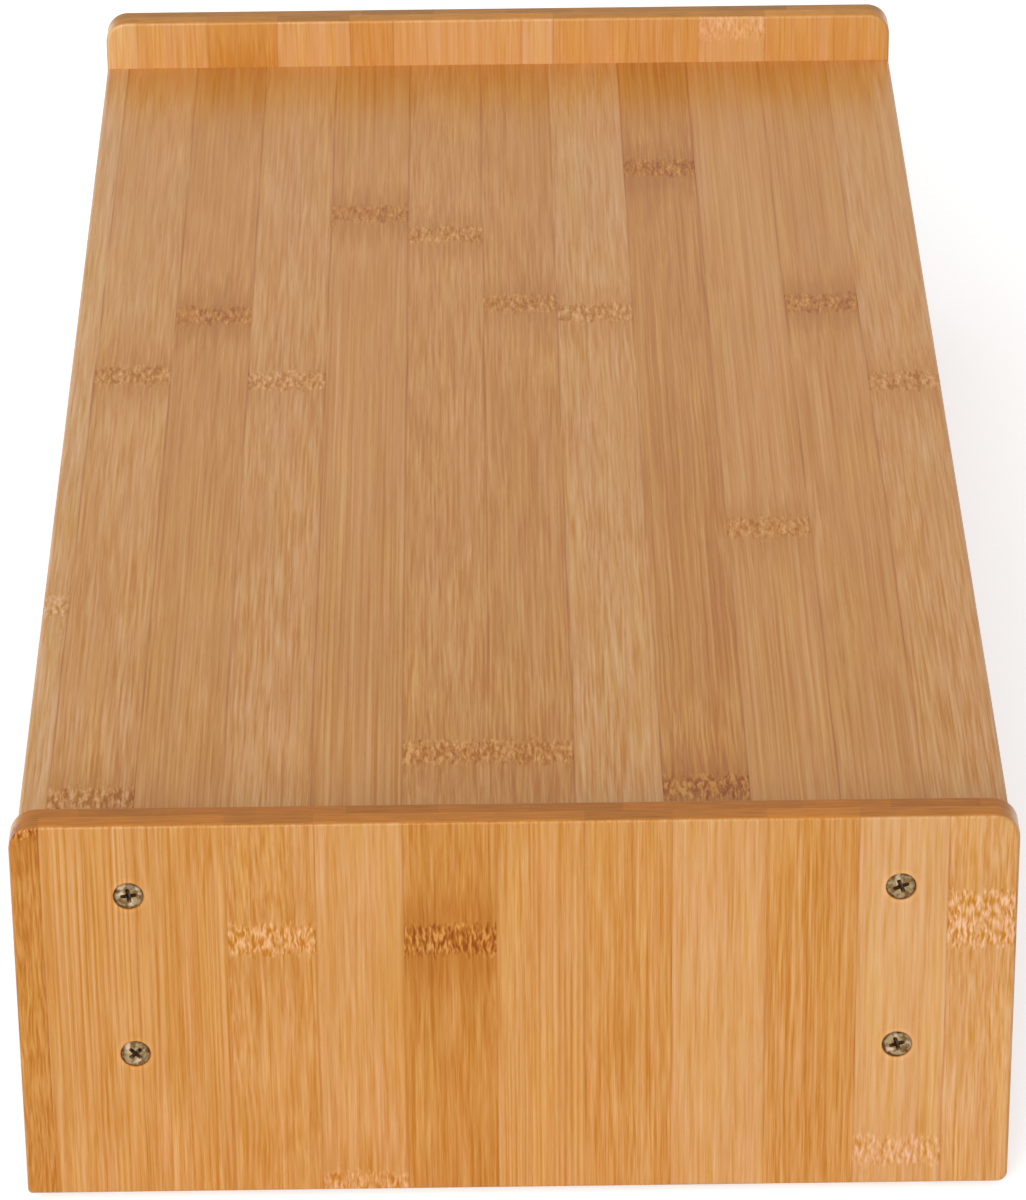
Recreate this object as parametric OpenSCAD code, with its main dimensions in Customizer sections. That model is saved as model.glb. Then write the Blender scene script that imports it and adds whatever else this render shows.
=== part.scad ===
// Monitor riser in laminated bamboo. Two end panels carry a top shelf and a lower
// shelf, and two dividers split the space between the shelves into three bays.
// The outer bays each hold a drawer, and the middle bay is open from front to rear.
// X runs along the riser, the drawers open towards -Y, and Z is up. The origin lies
// on the desk under the middle of the riser. All sizes are in millimetres.

/* [Riser] */
// Length over both end panels
riser_length = 540; // [440:5:700]
// Depth from the front edge to the rear edge
riser_depth = 270; // [220:5:330]
// Height from the desk to the top of the end panels
riser_height = 120; // [108:1:160]
// Height of the end panels above the top shelf
lip_height = 17; // [8:1:24]
// Clear height for a keyboard under the lower shelf
keyboard_height = 42.5; // [30:0.5:50]

/* [Boards] */
// Thickness of each end panel
panel_thickness = 10; // [8:0.5:14]
// Thickness of both shelves
shelf_thickness = 10; // [8:0.5:14]
// Thickness of both dividers
divider_thickness = 10; // [9:0.5:14]
// Radius that takes the sharpness off every exposed edge
edge_ease = 1.2; // [0.6:0.1:1.2]
// Radius of the end panels' top corners
panel_top_radius = 7.5; // [4:0.5:16]
// Radius of the end panels' front foot corners, which are nearly square
panel_front_foot_radius = 1.3; // [1.3:0.1:8]
// Radius of the end panels' rear foot corners
panel_rear_foot_radius = 3; // [2:0.5:8]

/* [Bay backs] */
// Thickness of the boards that close the drawer bays at the rear
back_thickness = 5; // [4:0.5:8]
// Distance from the riser's rear edge to those boards
back_setback = 11; // [6:0.5:22]
// Depth of the grooves that hold those boards
back_groove_depth = 3; // [2:0.25:4]

/* [Drawers] */
// Thickness of a drawer's front
front_thickness = 10; // [8:0.5:14]
// Radius of the front's corners
front_corner_radius = 2; // [2:0.5:6]
// Thickness of a drawer's side and rear walls
wall_thickness = 6; // [5:0.5:8]
// Distance from the top of the front down to the walls
wall_drop = 4; // [2:0.5:8]
// Thickness of a drawer's bottom
bottom_thickness = 3; // [2:0.5:5]
// Height of the bottom above the drawer's lower edge
bottom_rise = 4; // [3:0.5:8]
// Depth of the grooves that hold the bottom
bottom_groove_depth = 3; // [2:0.25:4]
// Depth of the rabbets in the front that house the sides
rabbet_depth = 5; // [4:0.25:6]
// Radius of the half-round finger notch in the front
notch_radius = 14; // [10:0.5:18]
// Gap on each side of a drawer
drawer_side_gap = 1; // [0.5:0.25:2]
// Gap above a drawer
drawer_top_gap = 1.5; // [0.5:0.25:3]
// Distance from the shelf edges back to a closed front
drawer_setback = 1; // [0:0.5:3]
// Gap between a closed drawer and the board that stops it
drawer_stop_gap = 0.5; // [0.3:0.1:1]

/* [Panel screws] */
// Outer diameter of the thread
panel_screw_d = 4; // [3.5:0.1:5]
// Diameter of the countersunk head
panel_screw_head_d = 8; // [7:0.1:9.5]
// Length of the screw over its head
panel_screw_length = 35; // [28:1:42]
// Distance from the riser's front and rear edges
panel_screw_inset = 31.5; // [20:0.5:60]

/* [Divider screws] */
// Outer diameter of the thread
divider_screw_d = 3.5; // [3:0.1:4.2]
// Diameter of the countersunk head
divider_screw_head_d = 7; // [6:0.1:8.4]
// Length of the screw over its head
divider_screw_length = 25; // [20:1:30]
// Distance from the riser's front and rear edges
divider_screw_inset = 65; // [55:1:100]

/* [Dowels] */
// Diameter of the dowels between the dividers and the top shelf
dowel_d = 6; // [5:0.25:7]
// Length of a dowel
dowel_length = 18; // [14:1:22]
// Depth that a dowel enters the top shelf
dowel_shelf_depth = 6; // [4:0.5:7]
// Distance from the riser's front and rear edges
dowel_inset = 35; // [22:1:45]

/* [Brads] */
// Diameter of the brads in the drawer corners
brad_d = 1.4; // [1:0.1:1.8]
// Diameter of a brad's head
brad_head_d = 2.4; // [2:0.1:3]
// Thickness of a brad's head
brad_head_thickness = 0.5; // [0.4:0.1:0.8]
// Length of a brad over its head
brad_length = 16; // [12:1:20]

/* [Foot pads] */
// Diameter of the pads under the end panels
pad_d = 6; // [5:0.5:7]
// Thickness of a pad
pad_thickness = 1.5; // [1:0.1:2.5]
// Distance from the riser's front and rear edges
pad_inset = 25; // [12:1:60]

/* [Hidden] */
// Room around a fastener or a dowel in its hole, on the radius
hole_clearance = 0.05;
// Room beyond the end of a fastener or a dowel in its hole
blind_clearance = 0.5;
// Room beside a board in its groove
groove_clearance = 0.15;
// Distance that a screw head lies below the wood
head_sink = 0.2;
// Height of the cylindrical rim of a screw head
head_rim = 0.3;
// Distance between neighbouring turns of a screw thread
thread_pitch = 1.8;
// Length of a screw's conical tip
screw_tip = 5;
// Length of a dowel's chamfers
dowel_chamfer = 0.8;
// Diameter of a pad's lower face as a share of its upper one
pad_taper_share = 0.9;
// Distance that a cut runs past the face it opens
overrun = 1;
// Core of a screw as a share of its thread
core_share = 0.7;
// Foot, crest and far foot of a thread turn as shares of the pitch
turn_shares = [0.15, 0.5, 0.85];
// Span, wing width and depth of the cross recess as shares of the head
recess_span_share = 0.56;
recess_wing_share = 0.13;
recess_depth_share = 0.27;
// Places of the brads between a drawer's bottom and the top of its walls
brad_shares = [0.2, 0.8];

bays = 3;
dividers = bays - 1;
left = -1;
right = 1;
ends = [left, right];

panel_foot = pad_thickness;
panel_height = riser_height - panel_foot;
shelf_length = riser_length - len(ends) * panel_thickness;
shelf_end_x = shelf_length / 2;
top_surface = riser_height - lip_height;
top_underside = top_surface - shelf_thickness;
lower_underside = keyboard_height;
lower_surface = lower_underside + shelf_thickness;
bay_height = top_underside - lower_surface;
bay_width = (shelf_length - dividers * divider_thickness) / bays;
divider_x = (bay_width + divider_thickness) / 2;
drawer_x = bay_width + divider_thickness;
front_edge_y = -riser_depth / 2;
rear_edge_y = riser_depth / 2;
back_y = rear_edge_y - back_setback - back_thickness;
back_groove_y = back_y - groove_clearance;
back_groove_width = back_thickness + 2 * groove_clearance;
back_width = bay_width + 2 * (back_groove_depth - groove_clearance);
back_height = bay_height - groove_clearance;

drawer_width = bay_width - 2 * drawer_side_gap;
drawer_front_y = front_edge_y + drawer_setback;
drawer_rear_y = back_y - drawer_stop_gap;
front_height = bay_height - drawer_top_gap;
front_inner_y = drawer_front_y + front_thickness;
wall_height = front_height - wall_drop;
side_start_y = front_inner_y - rabbet_depth;
side_length = drawer_rear_y - side_start_y;
rear_wall_y = drawer_rear_y - wall_thickness;
rear_wall_width = drawer_width - 2 * wall_thickness;
bottom_reach = bottom_groove_depth - groove_clearance;
bottom_width = rear_wall_width + 2 * bottom_reach;
bottom_start_y = front_inner_y - bottom_reach;
bottom_length = rear_wall_y + bottom_reach - bottom_start_y;
bottom_top = bottom_rise + bottom_thickness;

panel_screw_ys = [for (end = ends) end * (rear_edge_y - panel_screw_inset)];
panel_screw_zs = [for (top = [top_surface, lower_surface]) top - shelf_thickness / 2];
divider_screw_ys = [for (end = ends) end * (rear_edge_y - divider_screw_inset)];
dowel_ys = [for (end = ends) end * (rear_edge_y - dowel_inset)];
pad_ys = [for (end = ends) end * (rear_edge_y - pad_inset)];
pad_x = shelf_end_x + min(panel_thickness / 2, edge_ease + pad_d / 2);
brad_ys = [side_start_y + rabbet_depth / 2, rear_wall_y + wall_thickness / 2];
brad_zs = [for (share = brad_shares) bottom_top + share * (wall_height - bottom_top)];

bamboo = [0.86, 0.61, 0.36];
bamboo_side = [0.88, 0.68, 0.43];
plywood = [0.90, 0.76, 0.54];
beech = [0.85, 0.70, 0.48];
yellow_zinc = [0.62, 0.55, 0.40];
bright_steel = [0.72, 0.72, 0.74];
pad_milky = [0.82, 0.81, 0.77];

$fn = 48;

// Board section: a w by h rectangle whose chosen corners are rounded. The corners run
// lower left, lower right, upper right, upper left.
module eased_section(w, h, r, eased = [true, true, true, true]) {
    blocks = [[0, 0], [w - r, 0], [w - r, h - r], [0, h - r]];
    centres = [[r, r], [w - r, r], [w - r, h - r], [r, h - r]];
    difference() {
        square([w, h]);
        for (i = [0 : len(blocks) - 1])
            if (eased[i]) translate(blocks[i]) square(r);
    }
    for (i = [0 : len(blocks) - 1])
        if (eased[i])
            intersection() {
                translate(centres[i]) circle(r);
                translate(blocks[i]) square(r);
            }
}

// Section of a plate from its flat middle out to its eased edge.
module plate_edge(depth, t) {
    eased_section(depth, t, edge_ease, [false, true, true, false]);
}

// Plate in the XY plane, t thick, standing on the X axis, with every edge eased.
// lows holds the radii of its lower left and lower right corners, and high is the
// radius of both upper ones.
module eased_plate(w, h, t, lows, high) {
    for (side = [0, 1])
        mirror([1 - side, 0, 0]) {
            low = lows[side];
            translate([w / 2 - low, low, 0])
                rotate([0, 0, -90]) rotate_extrude(angle = 90) plate_edge(low, t);
            translate([w / 2 - high, h - high, 0])
                rotate_extrude(angle = 90) plate_edge(high, t);
            translate([w / 2 - high, h - high, 0])
                rotate([90, 0, 0]) linear_extrude(h - high - low) plate_edge(high, t);
            translate([w / 2 - low, low, 0])
                rotate([90, 0, -90]) linear_extrude(w / 2 - low) plate_edge(low, t);
            translate([0, low, 0])
                cube([w / 2 - high, h - high - low, t]);
        }
    translate([high - w / 2, h - high, 0])
        rotate([90, 0, 90]) linear_extrude(w - 2 * high) plate_edge(high, t);
}

// Countersunk screw with a cross recess, its head's face at the origin, pointing to -Z.
// The thread's turns are rings.
module screw(thread_d, head_d, length) {
    thread_r = thread_d / 2;
    core_r = thread_r * core_share;
    head_r = head_d / 2;
    thread_start = head_rim + head_r - core_r;
    turns = floor((length - screw_tip - thread_start) / thread_pitch);
    outline = concat(
        [[0, 0], [head_r, 0], [head_r, -head_rim], [core_r, -thread_start]],
        [for (turn = [0 : turns - 1], i = [0 : len(turn_shares) - 1])
            [i == 1 ? thread_r : core_r, -thread_start - (turn + turn_shares[i]) * thread_pitch]],
        [[core_r, screw_tip - length], [0, -length]]);
    difference() {
        rotate_extrude() polygon(outline);
        cross_recess(head_d);
    }
}

// Tapered cross that a screwdriver's tip fits, cut down from the head's face.
module cross_recess(head_d) {
    span = head_d * recess_span_share;
    wing = head_d * recess_wing_share;
    depth = head_d * recess_depth_share;
    intersection() {
        translate([0, 0, -depth]) cylinder(h = depth, d1 = wing, d2 = span);
        for (turn = [0, 90])
            rotate([0, 0, turn]) translate([-span / 2, -wing / 2, -depth]) cube([span, wing, depth]);
    }
    for (turn = [0, 90])
        rotate([0, 0, turn]) translate([-span / 2, -wing / 2, -head_rim / 2]) cube([span, wing, overrun]);
}

// Hole that a screw fits, from the wood's face at the origin towards -Z.
module screw_hole(thread_d, head_d, length) {
    hole_r = thread_d / 2 + hole_clearance;
    mouth_r = head_d / 2 + hole_clearance;
    seat = head_sink + head_rim;
    rotate_extrude()
        polygon([
            [0, overrun], [mouth_r, overrun], [mouth_r, -seat], [hole_r, -seat - mouth_r + hole_r],
            [hole_r, -head_sink - length - blind_clearance], [0, -head_sink - length - blind_clearance]
        ]);
}

// Puts its children at the four screws of an end panel, -Z pointing into the riser.
module at_panel_screws(end) {
    for (y = panel_screw_ys, z = panel_screw_zs)
        translate([end * riser_length / 2, y, z]) rotate([0, end * 90, 0]) children();
}

module panel_screw_hole() {
    screw_hole(panel_screw_d, panel_screw_head_d, panel_screw_length);
}

// Puts its children at the screws under the dividers, -Z pointing up into the wood.
module at_divider_screws(xs = [-divider_x, divider_x]) {
    for (x = xs, y = divider_screw_ys)
        translate([x, y, lower_underside]) rotate([180, 0, 0]) children();
}

module divider_screw_hole() {
    screw_hole(divider_screw_d, divider_screw_head_d, divider_screw_length);
}

// Puts its children where the dowels cross from the dividers into the top shelf.
module at_dowels(xs = [-divider_x, divider_x]) {
    for (x = xs, y = dowel_ys)
        translate([x, y, top_underside]) children();
}

module dowel_hole() {
    translate([0, 0, dowel_shelf_depth - dowel_length - blind_clearance])
        cylinder(h = dowel_length + 2 * blind_clearance, r = dowel_d / 2 + hole_clearance);
}

module end_panel(end) {
    feet = end == right
        ? [panel_rear_foot_radius, panel_front_foot_radius]
        : [panel_front_foot_radius, panel_rear_foot_radius];
    color(bamboo)
        difference() {
            translate([end * riser_length / 2, 0, panel_foot])
                rotate([90, 0, -end * 90])
                    eased_plate(riser_depth, panel_height, panel_thickness, feet, panel_top_radius);
            at_panel_screws(end) panel_screw_hole();
            bay_back_groove(end * shelf_end_x);
        }
}

// Upright groove for a bay's back board, in both faces that meet at the plane x.
module bay_back_groove(x) {
    translate([x - back_groove_depth, back_groove_y, lower_surface])
        cube([2 * back_groove_depth, back_groove_width, bay_height]);
}

module shelf_board(underside) {
    translate([-shelf_end_x, front_edge_y, underside])
        rotate([90, 0, 90]) linear_extrude(shelf_length)
            eased_section(riser_depth, shelf_thickness, edge_ease);
}

module top_shelf() {
    color(bamboo)
        difference() {
            shelf_board(top_underside);
            for (end = ends)
                at_panel_screws(end) panel_screw_hole();
            at_dowels() dowel_hole();
        }
}

module lower_shelf() {
    color(bamboo)
        difference() {
            shelf_board(lower_underside);
            for (end = ends)
                at_panel_screws(end) panel_screw_hole();
            at_divider_screws() divider_screw_hole();
        }
}

module divider(end) {
    outer_x = end * (divider_x + divider_thickness / 2);
    color(bamboo)
        difference() {
            translate([end * divider_x - divider_thickness / 2, front_edge_y, lower_surface])
                linear_extrude(bay_height)
                    eased_section(divider_thickness, riser_depth, edge_ease);
            bay_back_groove(outer_x);
            at_dowels([end * divider_x]) dowel_hole();
            at_divider_screws([end * divider_x]) divider_screw_hole();
        }
}

module bay_back(end) {
    color(bamboo_side)
        translate([end * drawer_x - back_width / 2, back_y, lower_surface])
            cube([back_width, back_thickness, back_height]);
}

module panel_screws(end) {
    color(yellow_zinc)
        at_panel_screws(end)
            translate([0, 0, -head_sink]) screw(panel_screw_d, panel_screw_head_d, panel_screw_length);
}

module divider_screws() {
    color(yellow_zinc)
        at_divider_screws()
            translate([0, 0, -head_sink]) screw(divider_screw_d, divider_screw_head_d, divider_screw_length);
}

module divider_dowels() {
    r = dowel_d / 2;
    tip_r = r - dowel_chamfer / 2;
    low = dowel_shelf_depth - dowel_length;
    high = dowel_shelf_depth;
    color(beech)
        at_dowels()
            rotate_extrude()
                polygon([
                    [0, low], [tip_r, low], [r, low + dowel_chamfer],
                    [r, high - dowel_chamfer], [tip_r, high], [0, high]
                ]);
}

module foot_pads() {
    color(pad_milky)
        for (end = ends, y = pad_ys)
            translate([end * pad_x, y, 0])
                cylinder(h = pad_thickness, d1 = pad_d * pad_taper_share, d2 = pad_d);
}

// Drawers are drawn about the middle of their width, standing at height zero, and
// this puts one on the lower shelf in its bay.
module in_bay(end) {
    translate([end * drawer_x, 0, lower_surface]) children();
}

// Groove that holds the drawer's bottom, cut from the walls and the front at once.
module bottom_groove() {
    translate([-rear_wall_width / 2 - bottom_groove_depth, front_inner_y - bottom_groove_depth, bottom_rise])
        cube([
            rear_wall_width + 2 * bottom_groove_depth,
            rear_wall_y + bottom_groove_depth - front_inner_y + bottom_groove_depth,
            bottom_thickness + groove_clearance
        ]);
}

// Puts its children at a drawer's brads, -Z pointing into the wood.
module at_brads(sides = ends) {
    for (side = sides, y = brad_ys, z = brad_zs)
        translate([side * drawer_width / 2, y, z]) rotate([0, side * 90, 0]) children();
}

// Brad with its head's face at the origin, pointing to -Z.
module brad() {
    translate([0, 0, -brad_length])
        cylinder(h = brad_length, d = brad_d, $fn = 24);
    translate([0, 0, -brad_head_thickness])
        cylinder(h = brad_head_thickness, d = brad_head_d, $fn = 24);
}

// Hole that a brad fits, from the wood's face at the origin towards -Z.
module brad_hole() {
    depth = brad_length + blind_clearance;
    seat = brad_head_thickness + hole_clearance;
    translate([0, 0, -depth])
        cylinder(h = depth, r = brad_d / 2 + hole_clearance, $fn = 24);
    translate([0, 0, -seat])
        cylinder(h = seat + overrun, r = brad_head_d / 2 + hole_clearance, $fn = 24);
}

module drawer_front(end) {
    color(bamboo)
        in_bay(end)
            difference() {
                translate([0, front_inner_y, 0])
                    rotate([90, 0, 0])
                        eased_plate(drawer_width, front_height, front_thickness,
                            [front_corner_radius, front_corner_radius], front_corner_radius);
                for (side = ends)
                    translate([side * drawer_width / 2 - wall_thickness, side_start_y, -overrun])
                        cube([2 * wall_thickness, rabbet_depth + overrun, front_height + 2 * overrun]);
                translate([0, drawer_front_y - overrun, front_height])
                    rotate([-90, 0, 0]) cylinder(h = front_thickness + 2 * overrun, r = notch_radius);
                bottom_groove();
                at_brads() brad_hole();
            }
}

// Side wall on the outer side (towards the end panel) or the inner side of a drawer.
module drawer_side(end, side) {
    inner_x = side * (drawer_width / 2 - wall_thickness / 2) - wall_thickness / 2;
    color(bamboo_side)
        in_bay(end)
            difference() {
                translate([inner_x, drawer_rear_y, 0])
                    rotate([90, 0, 0]) linear_extrude(side_length)
                        eased_section(wall_thickness, wall_height, edge_ease, [false, false, true, true]);
                bottom_groove();
                at_brads([side]) brad_hole();
            }
}

module drawer_rear(end) {
    color(bamboo_side)
        in_bay(end)
            difference() {
                translate([-rear_wall_width / 2, rear_wall_y, 0])
                    rotate([90, 0, 90]) linear_extrude(rear_wall_width)
                        eased_section(wall_thickness, wall_height, edge_ease, [false, false, true, true]);
                bottom_groove();
                at_brads() brad_hole();
            }
}

module drawer_bottom(end) {
    color(plywood)
        in_bay(end)
            translate([-bottom_width / 2, bottom_start_y, bottom_rise])
                cube([bottom_width, bottom_length, bottom_thickness]);
}

module drawer_brads(end) {
    color(bright_steel)
        in_bay(end)
            at_brads() brad();
}

end_panel(left);  // left_end_panel
end_panel(right);  // right_end_panel
top_shelf();
lower_shelf();
divider(left);  // left_divider
divider(right);  // right_divider
bay_back(left);  // left_bay_back
bay_back(right);  // right_bay_back
panel_screws(left);  // left_panel_screws
panel_screws(right);  // right_panel_screws
divider_screws();
divider_dowels();
foot_pads();
drawer_front(left);  // left_drawer_front
drawer_side(left, left);  // left_drawer_outer_side
drawer_side(left, right);  // left_drawer_inner_side
drawer_rear(left);  // left_drawer_rear
drawer_bottom(left);  // left_drawer_bottom
drawer_brads(left);  // left_drawer_brads
drawer_front(right);  // right_drawer_front
drawer_side(right, right);  // right_drawer_outer_side
drawer_side(right, left);  // right_drawer_inner_side
drawer_rear(right);  // right_drawer_rear
drawer_bottom(right);  // right_drawer_bottom
drawer_brads(right);  // right_drawer_brads
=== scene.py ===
"""Looks of a bamboo desk riser with two drawers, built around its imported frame.

Sizes in this file are millimetres, and every mesh is turned into metres when it
becomes an object. X runs along the riser, the drawers open towards -Y, Z is up.
"""

import logging
import math
import random
from dataclasses import dataclass
from enum import Enum
from functools import cached_property
from typing import Callable, Iterable, Optional, Sequence, Union

import bmesh
import bpy
from mathutils import Matrix, Vector


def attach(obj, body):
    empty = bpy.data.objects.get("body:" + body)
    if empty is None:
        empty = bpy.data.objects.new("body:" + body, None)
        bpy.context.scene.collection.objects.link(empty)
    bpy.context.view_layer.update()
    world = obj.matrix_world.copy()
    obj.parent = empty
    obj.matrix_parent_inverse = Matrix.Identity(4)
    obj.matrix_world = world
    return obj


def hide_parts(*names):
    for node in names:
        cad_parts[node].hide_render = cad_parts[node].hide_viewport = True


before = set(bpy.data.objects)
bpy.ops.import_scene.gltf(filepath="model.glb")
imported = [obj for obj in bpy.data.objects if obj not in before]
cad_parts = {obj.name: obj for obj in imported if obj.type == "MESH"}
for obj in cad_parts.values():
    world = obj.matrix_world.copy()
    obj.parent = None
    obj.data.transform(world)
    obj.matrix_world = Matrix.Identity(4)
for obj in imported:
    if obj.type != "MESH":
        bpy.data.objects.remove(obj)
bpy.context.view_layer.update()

LOG = logging.getLogger("riser")
METRE = 0.001
LEFT = -1
RIGHT = 1
ENDS = (LEFT, RIGHT)
SIDE_NAMES = {LEFT: "left", RIGHT: "right"}
CLEARANCE = 0.05
BLIND = 0.5

Colour = tuple[float, float, float]
Point = tuple[float, float]
Material = bpy.types.Material
Piece = bpy.types.Object
Socket = bpy.types.NodeSocket


def srgb(*screen: float) -> Colour:
    """Turns red, green and blue on a screen's scale, 0 to 255, into linear light."""
    parts = (part / 255 for part in screen)
    return tuple(p / 12.92 if p <= 0.04045 else ((p + 0.055) / 1.055) ** 2.4 for p in parts)


def halved(low: float, high: float) -> Point:
    """Gives the middle of a range and half its length."""
    return (low + high) / 2, (high - low) / 2


def quarter(steps: int) -> list[float]:
    """Gives the angles of a quarter turn in equal steps."""
    return [step / steps * math.pi / 2 for step in range(steps + 1)]


def polar(reach: float, angle: float) -> Point:
    """Gives the flat point at this distance and angle."""
    return reach * math.cos(angle), reach * math.sin(angle)


def laid(order: str, *places: float) -> Vector:
    """Puts three places on the axes that the letters name."""
    return Vector([places[order.index(axis)] for axis in "xyz"])


@dataclass(frozen=True)
class Sizes:
    """Main sizes that the sub-assemblies share.

    Attributes:
        lip: Height of the end panels above the top shelf.
        keyboard: Height of the room under the lower shelf.
        ease: Radius of the boards' edges.
        slack: Room of a board in its groove.
        shelf_end: Distance from the middle to a shelf's end.
        edge: Distance from the middle to the front or rear edge.
        top: Height of the top shelf's surface.
        floor: Height of the lower shelf's surface.
        ceiling: Height of the top shelf's underside.
        divider_x: Distance from the middle to a divider's middle.
        drawer_x: Distance from the middle to a drawer's middle.
        back_y: Place of the front face of the bays' back boards.
    """

    length: float = 540.0
    depth: float = 270.0
    height: float = 120.0
    lip: float = 17.0
    keyboard: float = 42.5
    board: float = 10.0
    ease: float = 1.2
    pad: float = 1.5
    bays: int = 3
    back: float = 5.0
    back_setback: float = 11.0
    back_groove: float = 3.0
    slack: float = 0.15
    shelf_end: float = length / 2 - board
    edge: float = depth / 2
    top: float = height - lip
    floor: float = keyboard + board
    ceiling: float = top - board
    bay: float = (2 * shelf_end - (bays - 1) * board) / bays
    divider_x: float = (bay + board) / 2
    drawer_x: float = bay + board
    back_y: float = edge - back_setback - back


SIZES = Sizes()


def operator(operation: str, swapped: bool = False) -> Callable[["Value", "Operand"], "Value"]:
    """Makes the method of an arithmetic sign, which adds a Math node.

    Args:
        operation: The node's operation.
        swapped: Whether the value stands behind the sign.

    Returns:
        The method.
    """
    def method(value: "Value", other: "Operand") -> "Value":
        """Works out the two terms."""
        return value.graph.math(operation, *((other, value) if swapped else (value, other)))
    return method


class Value:
    """An output of a node tree that carries a number. Arithmetic adds Math nodes."""

    __add__ = operator("ADD")
    __radd__ = operator("ADD", True)
    __sub__ = operator("SUBTRACT")
    __rsub__ = operator("SUBTRACT", True)
    __mul__ = operator("MULTIPLY")
    __rmul__ = operator("MULTIPLY", True)
    __truediv__ = operator("DIVIDE")
    __mod__ = operator("FLOORED_MODULO")
    __gt__ = operator("GREATER_THAN")

    def __init__(self, graph: "Graph", socket: Socket) -> None:
        """Wraps an output socket of the graph's tree."""
        self.graph = graph
        self.socket = socket

    def __abs__(self) -> "Value":
        """Drops the sign."""
        return self.graph.math("ABSOLUTE", self)

    def floor(self) -> "Value":
        """Rounds down."""
        return self.graph.math("FLOOR", self)

    def rise(self, low: float, high: float) -> "Value":
        """Rises smoothly from 0 at low to 1 at high."""
        node = self.graph.node("ShaderNodeMapRange", {"interpolation_type": "SMOOTHSTEP"},
                               {"Value": self, "From Min": low, "From Max": high})
        return Value(self.graph, node.outputs["Result"])

    def fall(self, low: float, high: float) -> "Value":
        """Falls smoothly from 1 at low to 0 at high."""
        return 1 - self.rise(low, high)

    def mixed(self, other: "Operand", share: "Operand") -> "Value":
        """Moves from this value to the other one by a share."""
        return self + (other - self) * share


Operand = Union[Value, float]


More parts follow.
